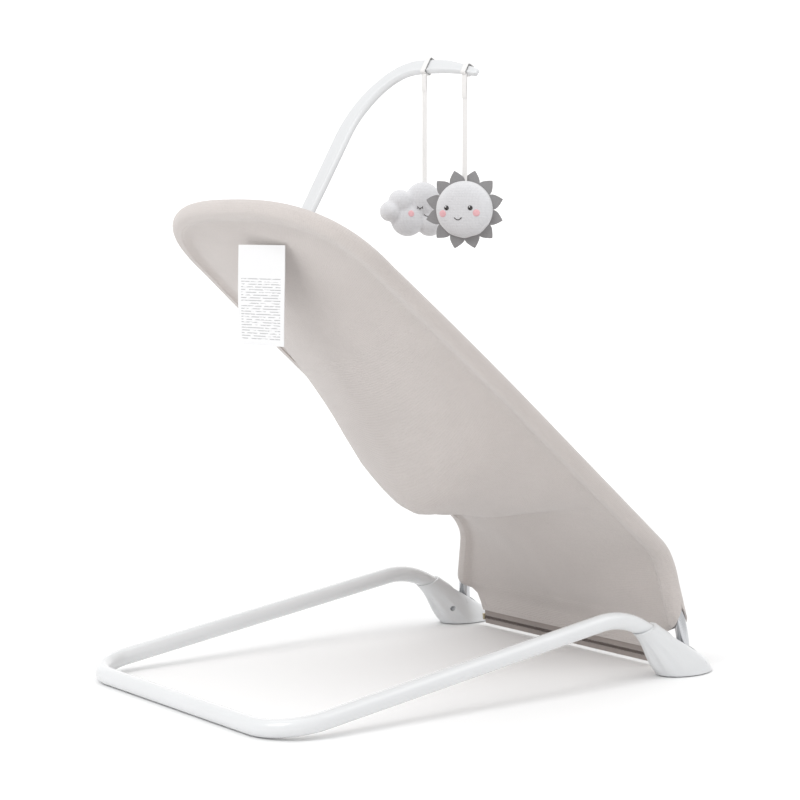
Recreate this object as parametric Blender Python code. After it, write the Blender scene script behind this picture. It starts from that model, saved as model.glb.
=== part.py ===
"""A bouncer seat: a U-shaped floor tube, two feet with friction hinges, a bent seat tube with a fabric
cover, a harness, and a one-armed toy bar with a plush cloud and a plush sun.

Metres, +Z up. The origin is on the floor under the middle of the object. The seat faces -Y and its head
end is at +Y. +X is the left side of a child lying in the seat.
"""

import math

import bmesh
import bpy
import numpy as np
from mathutils import Matrix, Vector
from mathutils.bvhtree import BVHTree

# ---------------------------------------------------------------- driving dimensions
GAP = 0.0003                    # between pieces that touch

REAR_Y = 0.335                  # centreline of the floor tube's rear run
BASE_HALF = 0.225               # centreline of each floor leg, from the middle
BASE_R = 0.011
BASE_WALL = 0.0013
BASE_CORNER = 0.062             # rear bend radius
BASE_RISE = math.radians(8.2)   # legs rise towards the front
ARCH_Y = -0.153                 # where a leg starts to bend down
ARCH_R = 0.115
ARCH_DIP = math.radians(28.0)   # leg's slope below the horizontal in the foot
SOCKET_DEPTH = 0.027

SEAT_R = 0.008
SEAT_WALL = 0.0012
SEAT_LEAN = 0.0993              # lower tube leans back this much for each metre of height
SEAT_INCLINE = math.radians(40.0)
RECLINE = math.radians(25.0)    # from upright to lying flat
KNEE = Vector((0.0, -0.2888, 0.1515))   # where the lower and upper centrelines would cross
HINGE_Z = 0.022
HINGE = Vector((0.0, KNEE.y - (KNEE.z - HINGE_Z) * SEAT_LEAN, HINGE_Z))
KNEE_R = 0.070
FOOT_HALF = 0.2265              # seat tube's half spacing at the hinge
KNEE_HALF = 0.2067
HEAD_HALF = 0.194
HEAD_START = 0.585              # along the incline from the knee
HEAD_TOP = 0.706
HEAD_POWER = 2.67               # the head loop is a quarter superellipse on each side
TUBE_START = 0.013              # lower end of the tube, above the hinge axis

COVER = 0.0022                  # thickness of one layer of the cover
SKIN = SEAT_R + 2 * GAP + COVER / 2         # a layer's middle surface, from the tube's centreline
LAYER_GAP = 0.0016              # from the middle of the cover to the middle of a layer
POUCH_POWER = 1.75
POUCH = [(0.125, 0.030), (0.188, 0.077), (0.240, 0.103), (0.292, 0.133),
         (0.344, 0.1575), (0.397, 0.124), (0.449, 0.091), (0.501, 0.070), (0.553, 0.053), (0.6055, 0.034),
         (0.6577, 0.014), (0.700, 0.0)]     # distance along the incline, sag of the middle line
POUCH_EDGE = 0.010              # the cover stays flat this far in from the tube
PANEL_EDGE = [(0.0230, 0.182), (0.035, 0.186), (0.047, 0.192), (0.053, 0.204), (0.058, 0.2155)]
SLEEVE_START = [(0.063, 0.0), (0.069, 25.0), (0.075, 50.0), (0.081, 72.0), (0.087, 88.0)]

FOOT_LONG = 0.0430
FOOT_WIDE = 0.0275
FOOT_X = 0.2265
MOUTH_R = 0.0150

BAR_LEAN = math.radians(30.0)
SUN_R = 0.0375


# ---------------------------------------------------------------- scene, materials, small helpers
def clear_scene():
    for item in list(bpy.data.objects):
        bpy.data.objects.remove(item)


def new_collection(name):
    group = bpy.data.collections.new(name)
    bpy.context.scene.collection.children.link(group)
    return group


def material(name, colour, roughness, metallic=0.0):
    made = bpy.data.materials.new(name)
    made.use_nodes = True
    shader = made.node_tree.nodes["Principled BSDF"]
    shader.inputs["Base Color"].default_value = (*colour, 1.0)
    shader.inputs["Roughness"].default_value = roughness
    shader.inputs["Metallic"].default_value = metallic
    return made


clear_scene()
PARTS = new_collection("bouncer_seat")
CUTTERS = new_collection("cutters")

WHITE_PAINT = material("white_paint", (0.86, 0.87, 0.88), 0.30)
WHITE_PLASTIC = material("white_plastic", (0.85, 0.86, 0.87), 0.38)
GREY_PLASTIC = material("grey_plastic", (0.22, 0.22, 0.23), 0.45)
BRIGHT_STEEL = material("bright_steel", (0.62, 0.63, 0.65), 0.22, 1.0)
RUBBER = material("rubber", (0.30, 0.30, 0.31), 0.80)
COVER_FABRIC = material("cover_fabric", (0.60, 0.55, 0.52), 0.90)
ZIP_TAPE = material("zip_tape", (0.32, 0.29, 0.28), 0.80)
ZIP_METAL = material("zip_metal", (0.62, 0.56, 0.42), 0.35, 1.0)
WEBBING = material("webbing", (0.60, 0.56, 0.53), 0.90)
RIBBON = material("ribbon", (0.82, 0.81, 0.80), 0.85)
LABEL = material("label", (0.88, 0.88, 0.88), 0.80)
PLUSH = material("plush", (0.78, 0.78, 0.79), 0.95)
FELT = material("felt", (0.20, 0.20, 0.21), 0.95)
BUTTON_GREY = material("button_grey", (0.55, 0.55, 0.56), 0.40)


def add(name, mesh, paint, origin=(0.0, 0.0, 0.0), group=None):
    """A named object from a mesh in world space, with its origin at the point given."""
    mesh.transform(Matrix.Translation(-Vector(origin)))
    made = bpy.data.objects.new(name, mesh)
    made.location = origin
    (group or PARTS).objects.link(made)
    if paint is not None:
        mesh.materials.append(paint)
    return made


def mesh_from(bm, name="shape"):
    bmesh.ops.recalc_face_normals(bm, faces=bm.faces)
    mesh = bpy.data.meshes.new(name)
    bm.to_mesh(mesh)
    bm.free()
    return mesh


def smooth(item, degrees=35.0):
    item.data.shade_smooth()
    item.data.set_sharp_from_angle(angle=math.radians(degrees))
    return item


def side_name(side):
    return "left" if side > 0 else "right"


def box_mesh(low, high):
    low, high = Vector(low), Vector(high)
    bm = bmesh.new()
    bmesh.ops.create_cube(bm, size=1.0)
    size = high - low
    middle = (low + high) / 2
    for vert in bm.verts:
        vert.co = Vector(a * b for a, b in zip(vert.co, size)) + middle
    return mesh_from(bm)


def rod_mesh(start, end, r1, r2=None, sides=20):
    """A cylinder or cone from start to end."""
    start, end = Vector(start), Vector(end)
    axis = end - start
    bm = bmesh.new()
    bmesh.ops.create_cone(bm, cap_ends=True, segments=sides, radius1=r1,
                          radius2=r1 if r2 is None else r2, depth=axis.length)
    turn = Vector((0, 0, 1)).rotation_difference(axis).to_matrix().to_4x4()
    bmesh.ops.transform(bm, verts=bm.verts, matrix=Matrix.Translation((start + end) / 2) @ turn)
    return mesh_from(bm)


def loft(sections, closed=False):
    """A skin over rings of equally many points; both ends are capped unless the rings close on themselves."""
    bm = bmesh.new()
    rings = [[bm.verts.new(point) for point in ring] for ring in sections]
    pairs = list(zip(rings, rings[1:]))
    if closed:
        pairs.append((rings[-1], rings[0]))
    for ring, after in pairs:
        for i in range(len(ring)):
            j = (i + 1) % len(ring)
            bm.faces.new((ring[i], ring[j], after[j], after[i]))
    if not closed:
        bm.faces.new(list(reversed(rings[0])))
        bm.faces.new(rings[-1])
    return mesh_from(bm)


def cut(item, *cutters):
    """Cuts the cutters from the item with exact Booleans."""
    for index, tool in enumerate(cutters):
        step = item.modifiers.new(f"cut_{index}", "BOOLEAN")
        step.operation = "DIFFERENCE"
        step.object = tool
    return item


def join(item, *helpers):
    """Adds the helpers to the item with exact Booleans."""
    for index, helper in enumerate(helpers):
        step = item.modifiers.new(f"join_{index}", "BOOLEAN")
        step.operation = "UNION"
        step.object = helper
    return item


def keep(item, helper):
    """Keeps only what lies inside the helper."""
    step = item.modifiers.new("keep", "BOOLEAN")
    step.operation = "INTERSECT"
    step.object = helper
    return item


def cutter(name, mesh):
    """A helper that a Boolean uses and that no render shows."""
    made = add(name, mesh, None, group=CUTTERS)
    made.hide_render = True
    made.display_type = "WIRE"
    return made


def frames_along(points):
    """A tangent and two normals at each point of a path, with no twist."""
    points = [Vector(p) for p in points]
    tangents = []
    for i in range(len(points)):
        ahead = points[min(i + 1, len(points) - 1)]
        behind = points[max(i - 1, 0)]
        tangents.append((ahead - behind).normalized())
    normal = tangents[0].orthogonal().normalized()
    out = []
    for tangent in tangents:
        normal = (normal - tangent * normal.dot(tangent)).normalized()
        out.append((tangent, normal, tangent.cross(normal)))
    return out


def tube_mesh(points, radius, wall=None, sides=16):
    """A round bar along a path, or an open-ended tube if a wall is given."""
    points = [Vector(p) for p in points]
    frames = frames_along(points)

    def ring(i, r):
        _, n1, n2 = frames[i]
        steps = [2 * math.pi * k / sides for k in range(sides)]
        return [points[i] + r * (math.cos(a) * n1 + math.sin(a) * n2) for a in steps]

    outer = [ring(i, radius) for i in range(len(points))]
    if wall is None:
        return loft(outer)
    inner = [ring(i, radius - wall) for i in reversed(range(len(points)))]
    return loft(outer + inner, closed=True)


def arc_points(start, direction, turn_axis, radius, angle, steps):
    """Points on an arc that leaves start along direction and turns by angle about turn_axis."""
    direction = Vector(direction).normalized()
    turn_axis = Vector(turn_axis).normalized()
    centre = Vector(start) + turn_axis.cross(direction) * radius
    arm = Vector(start) - centre
    return [centre + Matrix.Rotation(angle * k / steps, 3, turn_axis) @ arm for k in range(1, steps + 1)]


# ---------------------------------------------------------------- floor tube
def base_path():
    """Centreline of the floor tube, from the right foot round the back to the left foot."""
    forward = Vector((0, -math.cos(BASE_RISE), math.sin(BASE_RISE)))
    dip = Vector((0, -math.cos(ARCH_DIP), -math.sin(ARCH_DIP)))
    side = [Vector((0.0, REAR_Y, BASE_R)), Vector((BASE_HALF - BASE_CORNER, REAR_Y, BASE_R))]
    side += arc_points(side[-1], (1, 0, 0), Vector((1, 0, 0)).cross(forward), BASE_CORNER, math.pi / 2, 8)
    corner_end = side[-1]
    length = (corner_end.y - ARCH_Y) / math.cos(BASE_RISE)
    side += [corner_end + forward * length * share for share in (0.25, 0.5, 0.75, 1.0)]
    side += arc_points(side[-1], forward, (1, 0, 0), ARCH_R, BASE_RISE + ARCH_DIP, 7)
    side.append(side[-1] + dip * SOCKET_DEPTH)
    mirrored = [Vector((-p.x, p.y, p.z)) for p in reversed(side[1:])]
    return mirrored + side


BASE_PATH = base_path()


# ---------------------------------------------------------------- seat tube
def incline_point(along, x):
    """A point of the seat tube's upper plane: distance along the incline from the knee, and x."""
    return Vector((x, KNEE.y + along * math.cos(SEAT_INCLINE), KNEE.z + along * math.sin(SEAT_INCLINE)))


def knee_tangent():
    """Length from the knee's corner to where its bend starts."""
    lean = math.atan(SEAT_LEAN)
    return KNEE_R * math.tan((math.pi / 2 - lean - SEAT_INCLINE) / 2)


def seat_side():
    """Centreline of the left half of the seat tube, from the hinge end up to the middle of the head."""
    lower = Vector((0, SEAT_LEAN, 1)).normalized()
    turn = math.pi / 2 - math.atan(SEAT_LEAN) - SEAT_INCLINE
    tangent = knee_tangent()
    bend_start = KNEE - lower * tangent
    low_end = HINGE + lower * TUBE_START
    low_end.y = bend_start.y - (bend_start.z - low_end.z) * SEAT_LEAN
    line = [low_end.lerp(bend_start, share) for share in (0.0, 0.2, 0.4, 0.6, 0.8, 1.0)]
    line += arc_points(bend_start, lower, (-1, 0, 0), KNEE_R, turn, 7)
    line += [incline_point(d, 0.0) for d in np.linspace(tangent, HEAD_START, 13)[1:]]
    travel = [0.0]
    for before, after in zip(line, line[1:]):
        travel.append(travel[-1] + (after - before).length)
    knee_at = travel[9]
    for point, d in zip(line, travel):
        if d < knee_at:
            share = d / knee_at
            point.x = FOOT_HALF + (KNEE_HALF - FOOT_HALF) * (3 * share ** 2 - 2 * share ** 3)
        else:
            share = max(0.0, (d - knee_at) / (travel[-1] - knee_at) * 2.0 - 1.0)
            point.x = KNEE_HALF + (HEAD_HALF - KNEE_HALF) * share ** 2
    for k in range(1, 12):
        angle = math.pi / 2 * k / 11
        x = HEAD_HALF * math.cos(angle) ** (2 / HEAD_POWER) if k < 11 else 0.0
        line.append(incline_point(HEAD_START + (HEAD_TOP - HEAD_START) * math.sin(angle) ** (2 / HEAD_POWER), x))
    return line


SEAT_SIDE = seat_side()
SEAT_PATH = SEAT_SIDE + [Vector((-p.x, p.y, p.z)) for p in reversed(SEAT_SIDE[:-1])]


# ---------------------------------------------------------------- feet
def bezier(points, t):
    """A point of the cubic through four control points, each a (y, z) pair."""
    u = 1 - t
    weights = (u ** 3, 3 * u ** 2 * t, 3 * u * t ** 2, t ** 3)
    return Vector((0, sum(w * p[0] for w, p in zip(weights, points)),
                   sum(w * p[1] for w, p in zip(weights, points))))


FOOT_FLOOR = 0.0012             # underside of the housing; the pad stands proud of it
FOOT_FRONT = [(-0.2475, 0.0720), (-0.2990, 0.0385), (-0.3460, 0.0170), (-0.3460, FOOT_FLOOR)]
FOOT_REAR = [(-0.2125, 0.0612), (-0.2360, 0.0410), (-0.2400, 0.0180), (-0.2590, FOOT_FLOOR)]
FLUTES = 5
SLOT_HALF = 0.0118              # half width of the slot that the seat tube swings in
SLOT_REAR = 0.0116              # room behind the tube when it lies back, for the cover's sleeve


def foot_body_mesh(side):
    """The whole foot before it is split: ovals that run from the tube's mouth down to the floor."""
    sections = []
    for k in range(13):
        t = k / 12
        front, rear = bezier(FOOT_FRONT, t), bezier(FOOT_REAR, t)
        middle, arm = (front + rear) / 2, (front - rear) / 2
        wide = MOUTH_R + (FOOT_WIDE - MOUTH_R) * math.sin(math.pi / 2 * t) ** 1.5
        flute = 0.045 * math.sin(math.pi * min(1.0, max(0.0, (t - 0.15) / 0.85))) ** 0.7
        ring = []
        for i in range(40):
            angle = 2 * math.pi * i / 40
            behind = max(0.0, -math.cos(angle)) ** 0.5
            grow = 1.0 + flute * behind * math.cos(2 * FLUTES * angle)
            x = FOOT_X + wide * math.sin(angle) * grow
            ring.append(Vector((side * x, 0, 0)) + middle + arm * math.cos(angle) * grow)
        sections.append(ring)
    return loft(sections)


def slot_mesh(side):
    """The space that the seat tube sweeps between upright and flat, as a wedge that opens upwards."""
    half = SEAT_R + 0.0010
    reach = 0.13
    lean = math.atan(SEAT_LEAN)
    rows = []
    for angle, side_half in ((lean, -half), (lean + RECLINE, SLOT_REAR)):
        along = Vector((0, math.sin(angle), math.cos(angle)))
        across = Vector((0, math.cos(angle), -math.sin(angle))) * side_half
        rows.append((HINGE + across, HINGE + across + along * reach))
    (low_a, high_a), (low_b, high_b) = rows
    outline = [low_a, high_a, high_b, low_b, HINGE + Vector((0, 0, -half))]
    ends = [side * (FOOT_X - SLOT_HALF), side * (FOOT_X + SLOT_HALF)]
    return loft([[Vector((x, p.y, p.z)) for p in outline] for x in ends])


EYE_R = 0.0120
EYE_HALF = 0.0098
WASHER = 0.0012
PIN_R = 0.0030
PIN_HALF = 0.0170
SCREW_SPOTS = {"rear": (-0.2620, 0.0250), "front": (-0.3270, 0.0115)}
SCREW_R = 0.0020
SCREW_HEAD_R = 0.0036


def across_rod(side, y, z, x1, x2, radius, sides=20):
    return rod_mesh((side * x1, y, z), (side * x2, y, z), radius, sides=sides)


def foot_cutters(side):
    name = side_name(side)
    tube_end = BASE_PATH[-10:]
    beyond = tube_end[-1] + (tube_end[-1] - tube_end[-2]).normalized() * GAP * 2
    socket = [Vector((side * p.x, p.y, p.z)) for p in tube_end[:-1] + [beyond]]
    tools = [cutter(f"socket_{name}", tube_mesh(socket, BASE_R + GAP, sides=24)),
             cutter(f"slot_{name}", slot_mesh(side)),
             cutter(f"eye_room_{name}", across_rod(side, HINGE.y, HINGE.z, FOOT_X - SLOT_HALF,
                                                   FOOT_X + SLOT_HALF, EYE_R + 0.001, 24)),
             cutter(f"pin_hole_{name}", across_rod(side, HINGE.y, HINGE.z, FOOT_X - PIN_HALF - GAP,
                                                   FOOT_X + PIN_HALF + GAP, PIN_R + GAP)),
             cutter(f"pad_room_{name}", pad_mesh(side, GAP, FOOT_PAD_TOP + GAP, -0.002))]
    for spot, (y, z) in SCREW_SPOTS.items():
        tools.append(cutter(f"{spot}_screw_hole_{name}",
                            across_rod(side, y, z, FOOT_X - 0.0175, FOOT_X + 0.0125, SCREW_R + GAP, 12)))
        tools.append(cutter(f"{spot}_screw_room_{name}",
                            across_rod(side, y, z, FOOT_X - 0.045, FOOT_X - 0.0137, SCREW_HEAD_R + 0.0004)))
    return tools


FOOT_PAD_TOP = 0.0040


def pad_mesh(side, grow, top, bottom):
    """An oval plate under the foot."""
    middle = Vector((side * FOOT_X, (FOOT_FRONT[3][0] + FOOT_REAR[3][0]) / 2, 0))
    rings = []
    for z in (bottom, top):
        rings.append([middle + Vector(((FOOT_WIDE - 0.007 + grow) * math.sin(a),
                                       (FOOT_LONG - 0.008 + grow) * math.cos(a), z))
                      for a in np.linspace(0, 2 * math.pi, 33)[:-1]])
    return loft(rings)


def make_foot(side):
    name = side_name(side)
    tools = foot_cutters(side)
    for shell, x1, x2 in (("outer", FOOT_X + GAP / 2, FOOT_X + 0.06), ("inner", FOOT_X - 0.06, FOOT_X - GAP / 2)):
        low, high = sorted((side * x1, side * x2))
        half = cutter(f"{shell}_half_{name}", box_mesh((low, -0.40, -0.01), (high, -0.15, 0.12)))
        item = add(f"foot_{shell}_shell_{name}", foot_body_mesh(side), WHITE_PLASTIC)
        keep(item, half)
        smooth(cut(item, *tools))
    smooth(add(f"foot_pad_{name}", pad_mesh(side, 0.0, FOOT_PAD_TOP, 0.0), RUBBER))
    origin = (side * FOOT_X, HINGE.y, HINGE.z)
    smooth(add(f"hinge_pin_{name}", across_rod(side, HINGE.y, HINGE.z, FOOT_X - PIN_HALF, FOOT_X + PIN_HALF,
                                               PIN_R), BRIGHT_STEEL, origin))
    for place, sign in (("inner", -1), ("outer", 1)):
        start = FOOT_X + sign * (EYE_HALF + GAP)
        washer = add(f"hinge_washer_{place}_{name}",
                     across_rod(side, HINGE.y, HINGE.z, start, start + sign * WASHER, 0.0095, 24),
                     BRIGHT_STEEL, origin)
        hole = across_rod(side, HINGE.y, HINGE.z, FOOT_X - 0.03, FOOT_X + 0.03, PIN_R + GAP)
        smooth(cut(washer, cutter(f"washer_hole_{place}_{name}", hole)))
    for spot, (y, z) in SCREW_SPOTS.items():
        profile = [(FOOT_X - 0.0162, SCREW_HEAD_R), (FOOT_X - 0.0140, SCREW_HEAD_R),
                   (FOOT_X - 0.0140, SCREW_R), (FOOT_X + 0.0105, SCREW_R), (FOOT_X + 0.0120, 0.0008)]
        rings = [[Vector((side * x, y + r * math.cos(a), z + r * math.sin(a)))
                  for a in np.linspace(0, 2 * math.pi, 17)[:-1]] for x, r in profile]
        screw = add(f"foot_screw_{spot}_{name}", loft(rings), BRIGHT_STEEL)
        across = box_mesh((min(side * (FOOT_X - 0.0150), side * (FOOT_X - 0.02)), y - 0.0005, z - 0.0026),
                          (max(side * (FOOT_X - 0.0150), side * (FOOT_X - 0.02)), y + 0.0005, z + 0.0026))
        upright = box_mesh((min(side * (FOOT_X - 0.0150), side * (FOOT_X - 0.02)), y - 0.0026, z - 0.0005),
                           (max(side * (FOOT_X - 0.0150), side * (FOOT_X - 0.02)), y + 0.0026, z + 0.0005))
        smooth(cut(screw, cutter(f"{spot}_cross_a_{name}", across), cutter(f"{spot}_cross_b_{name}", upright)))


def make_lug(side):
    """The seat tube's end fitting: an eye round the hinge pin and a plug that fills the tube's end."""
    name = side_name(side)
    along = Vector((0, SEAT_LEAN, 1)).normalized()
    middle = Vector((side * FOOT_X, HINGE.y, HINGE.z))
    eye = across_rod(side, HINGE.y, HINGE.z, FOOT_X - EYE_HALF, FOOT_X + EYE_HALF, EYE_R, 28)
    item = add(f"hinge_lug_{name}", eye, GREY_PLASTIC, middle)
    plug = cutter(f"plug_{name}", rod_mesh(middle + along * 0.004, middle + along * 0.024,
                                           SEAT_R - SEAT_WALL - 0.0011, sides=16))
    join(item, plug)
    hole = cutter(f"lug_hole_{name}", across_rod(side, HINGE.y, HINGE.z, FOOT_X - 0.03, FOOT_X + 0.03,
                                                 PIN_R + GAP))
    smooth(cut(item, hole))


# ---------------------------------------------------------------- cover
BEND_END = knee_tangent()       # along the incline, where the knee's bend ends
SPINE_TOP = 0.640               # the middle line of the cover is counted up to here
PATH_ARRAY = np.array([tuple(p) for p in SEAT_PATH])
NEAR_TUBE = (0.0, 0.004, 0.008, 0.012, 0.019)
FAR_SHARES = {True: (0.25, 0.5, 0.75, 1.0), False: (0.5, 1.0)}


FOLD_FOOT_Z = 0.066             # height where the cover starts to lean back to the fold
FOLD = incline_point(POUCH[0][0], 0.0) - Vector((0, 0, POUCH[0][1]))


def pouch_depth(along):
    """Sag of the seat's middle line, a distance along the incline from the knee."""
    at = [p[0] for p in POUCH]
    depths = [p[1] for p in POUCH]
    if not at[0] <= along < at[-1]:
        return 0.0
    k = max(0, int(np.searchsorted(at, along)) - 1)
    slopes = [(depths[1] - depths[0]) / (at[1] - at[0])]
    for i in range(1, len(at) - 1):
        before = (depths[i] - depths[i - 1]) / (at[i] - at[i - 1])
        after = (depths[i + 1] - depths[i]) / (at[i + 1] - at[i])
        slopes.append(0.0 if before * after <= 0 else 2 * before * after / (before + after))
    slopes.append(0.0)
    span = at[k + 1] - at[k]
    t = (along - at[k]) / span
    return ((2 * t ** 3 - 3 * t ** 2 + 1) * depths[k] + (t ** 3 - 2 * t ** 2 + t) * span * slopes[k]
            + (-2 * t ** 3 + 3 * t ** 2) * depths[k + 1] + (t ** 3 - t ** 2) * span * slopes[k + 1])


def tube_x_at(along):
    """Half spacing of the seat tube, a distance along the incline from the knee."""
    line = [p for p in SEAT_SIDE if p.z > KNEE.z]
    far = [(p.z - KNEE.z) / math.sin(SEAT_INCLINE) for p in line]
    return float(np.interp(along, far, [p.x for p in line]))


def fold_shift(z):
    """How far the cover's middle line lies behind the tubes below the fold: it runs straight from hem to fold."""
    line = [p for p in SEAT_SIDE if FOLD_FOOT_Z - 0.02 < p.z < FOLD.z + 0.08]
    travel = [0.0]
    for before, after in zip(line, line[1:]):
        travel.append(travel[-1] + (after - before).length)
    heights = [p.z for p in line]
    foot, top, here = (float(np.interp(h, heights, travel)) for h in (FOLD_FOOT_Z, FOLD.z + POUCH[0][1], z))
    share = min(1.0, max(0.0, (here - foot) / (top - foot)))
    if share <= 0.0:
        return Vector((0, 0, 0))
    start = Vector((0, HINGE.y + (FOLD_FOOT_Z - HINGE.z) * SEAT_LEAN, FOLD_FOOT_Z))
    return start.lerp(FOLD, share) - Vector((0, float(np.interp(z, heights, [p.y for p in line])), z))


def sag_share(x, half):
    return max(0.0, 1 - (abs(x) / max(0.01, half - POUCH_EDGE)) ** POUCH_POWER)


def middle_point(x, along):
    """A point halfway between the layers of the seat, from its x and its distance along the incline."""
    flat = incline_point(along, x)
    share = sag_share(x, tube_x_at(along))
    if along < POUCH[0][0]:
        return flat + fold_shift(flat.z) * share
    flat.z -= pouch_depth(along) * share
    return flat


def panel_point(at):
    """A point of the cover's middle surface below the seat, from the same point of the plane between the tubes."""
    half = float(np.interp(at.z, [p.z for p in SEAT_SIDE], [p.x for p in SEAT_SIDE]))
    return at + fold_shift(at.z) * sag_share(at.x, half)


def spread(point):
    """From the middle of the cover to the middle of a layer: more round the tube, at the edge."""
    away = np.sqrt(((PATH_ARRAY - np.array(tuple(point))) ** 2).sum(axis=1)).min()
    t = min(1.0, max(0.0, (0.020 - away) / 0.012))
    return LAYER_GAP + (SKIN - LAYER_GAP) * t * t * (3 - 2 * t)


def front_normal(tangent):
    """The direction towards the child, square to the tube."""
    flat = Vector((0, tangent.y, tangent.z))
    if flat.length < 0.3:
        return Vector((0, -math.sin(SEAT_INCLINE), math.cos(SEAT_INCLINE)))
    flat.normalize()
    return Vector((0, -flat.z, flat.y))


def lower_rows():
    """The lower panel's rows: edge point, tangent, angle wrapped round the tube, point on the middle line."""
    lean = Vector((0, SEAT_LEAN, 1)).normalized()
    rows = []
    for z, half in PANEL_EDGE:
        y = HINGE.y + (z - HINGE.z) * SEAT_LEAN
        rows.append((Vector((half, y, z)), lean, 0.0, Vector((0, y, z))))
    heights = [p.z for p in SEAT_SIDE]
    for z, wrap in SLEEVE_START:
        x = float(np.interp(z, heights, [p.x for p in SEAT_SIDE]))
        y = HINGE.y + (z - HINGE.z) * SEAT_LEAN
        rows.append((Vector((x, y, z)), lean, wrap, Vector((0, y, z))))
    for k in range(len(SEAT_SIDE)):
        at = SEAT_SIDE[k]
        if SLEEVE_START[-1][0] + 0.004 < at.z <= incline_point(BEND_END, 0).z + 1e-5:
            tangent = (SEAT_SIDE[k + 1] - SEAT_SIDE[k - 1]).normalized()
            rows.append((at.copy(), tangent, 88.0, Vector((0, at.y, at.z))))
    last = rows[-1]
    rows[-1] = (last[0] - last[1] * 0.0008, last[1], last[2], last[3] - last[1] * 0.0008)
    return rows


def upper_rows():
    """The seat's rows, from the knee round to the middle of the head."""
    start = next(k for k, p in enumerate(SEAT_SIDE) if p.z > incline_point(BEND_END, 0).z - 1e-5)
    line = SEAT_SIDE[start:]
    travel = [0.0]
    for before, after in zip(line, line[1:]):
        travel.append(travel[-1] + (after - before).length)
    split = next(k for k, p in enumerate(line) if p.z > incline_point(0.50, 0).z)
    low = (line[split].z - KNEE.z) / math.sin(SEAT_INCLINE)
    rows = []
    for k, at in enumerate(line):
        along = (at.z - KNEE.z) / math.sin(SEAT_INCLINE)
        if k > split:
            along = low + (SPINE_TOP - low) * (travel[k] - travel[split]) / (travel[-1] - travel[split])
        behind = line[k - 1] if k else line[0]
        ahead = line[k + 1] if k < len(line) - 1 else Vector((-line[-2].x, line[-2].y, line[-2].z))
        rows.append((at.copy(), (ahead - behind).normalized(), 88.0, incline_point(along, 0.0)))
    first = rows[0]
    rows[0] = (first[0] + first[1] * 0.0008, first[1], first[2], first[3] + first[1] * 0.0008)
    return rows


def layer_row(row, seat, sign, shift):
    """The points of one row of a layer, from the outer seam to the middle line."""
    edge, tangent, wrap, spine = row
    front = front_normal(tangent)
    out = tangent.cross(front).normalized()
    if spine.x == 0 and abs(edge.x) < 1e-6:
        out.x = 0.0
    line = []
    reach = SKIN + shift * sign
    for share in (1.0, 0.67, 0.33):
        angle = math.radians(wrap * share)
        aside = 0.0
        if wrap == 0:
            aside = -0.0004 * (1 - share)
        height = spread(edge) + shift * sign
        if wrap > 0:
            height = reach
        line.append(edge + front * sign * height * math.cos(angle) + out * (height * math.sin(angle) + aside))
    run = (spine - edge).length
    inward = (spine - edge).normalized()
    for distance in NEAR_TUBE:
        at = edge + inward * (distance + (0.0006 if wrap == 0 else 0.0))
        line.append(layer_point(at, seat, front, sign, shift))
    near = NEAR_TUBE[-1]
    for share in FAR_SHARES[seat]:
        at = edge + inward * (near + (run - near) * share)
        if share == 1.0:
            at.x = 0.0
        line.append(layer_point(at, seat, front, sign, shift))
    return line


def layer_point(at, seat, front, sign, shift):
    if not seat:
        return panel_point(at) + front * (sign * spread(at) + shift)
    along = (at.z - KNEE.z) / math.sin(SEAT_INCLINE)
    middle, normal = middle_point(at.x, along), seat_normal(at.x, along)
    if abs(at.x) < 1e-9:
        normal.x = 0.0
        normal.normalize()
    return middle + normal * (sign * spread(at) + shift)


def seat_normal(x, along):
    step = 0.003
    over = middle_point(x + step, along) - middle_point(x - step, along)
    up = middle_point(x, along + step) - middle_point(x, along - step)
    return over.cross(up).normalized()


def half_shell(top, bottom):
    """Half of a closed sheet, open on the plane x = 0, and its mirror image, sewn together there."""
    bm = bmesh.new()
    over = [[bm.verts.new(p) for p in row] for row in top]
    under = [[bm.verts.new(p) for p in row] for row in bottom]
    rows, columns = len(top), len(top[0])
    for grid in (over, under):
        for i in range(rows - 1):
            for j in range(columns - 1):
                bm.faces.new((grid[i][j], grid[i][j + 1], grid[i + 1][j + 1], grid[i + 1][j]))
    for i in range(rows - 1):
        bm.faces.new((over[i][0], over[i + 1][0], under[i + 1][0], under[i][0]))
    for i in (0, rows - 1):
        if max(abs(v.co.x) for v in over[i]) < 1e-6:
            continue
        for j in range(columns - 1):
            bm.faces.new((over[i][j], over[i][j + 1], under[i][j + 1], under[i][j]))
    mirrored = bmesh.ops.duplicate(bm, geom=bm.verts[:] + bm.edges[:] + bm.faces[:])["geom"]
    for item in mirrored:
        if isinstance(item, bmesh.types.BMVert):
            item.co.x = -item.co.x
    bmesh.ops.remove_doubles(bm, verts=bm.verts, dist=1e-5)
    return mesh_from(bm)


def make_cover_layer(name, rows, seat, sign):
    """One layer of the cover: sign 1 faces the child, -1 faces away."""
    faces = [[layer_row(row, seat, sign, shift) for row in rows] for shift in (COVER / 2, -COVER / 2)]
    mesh = half_shell(*faces)
    smooth(add(name, mesh, COVER_FABRIC), 60.0)
    return mesh


def make_cover():
    upper, lower = upper_rows(), lower_rows()
    front = make_cover_layer("seat_cover_front", upper, True, 1)
    SEAT_FRONT.append(BVHTree.FromPolygons([v.co for v in front.vertices], [tuple(f.vertices) for f in front.polygons]))
    make_cover_layer("seat_cover_back", upper, True, -1)
    make_cover_layer("lower_panel_front", lower, False, 1)
    make_cover_layer("lower_panel_back", lower, False, -1)


SEAT_FRONT = []                 # the seat's front layer, for the harness to lie on


def lay_on_seat(point, normal, lift):
    return SEAT_FRONT[0].ray_cast(point + normal * 0.05, -normal)[0] + normal * lift


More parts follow.
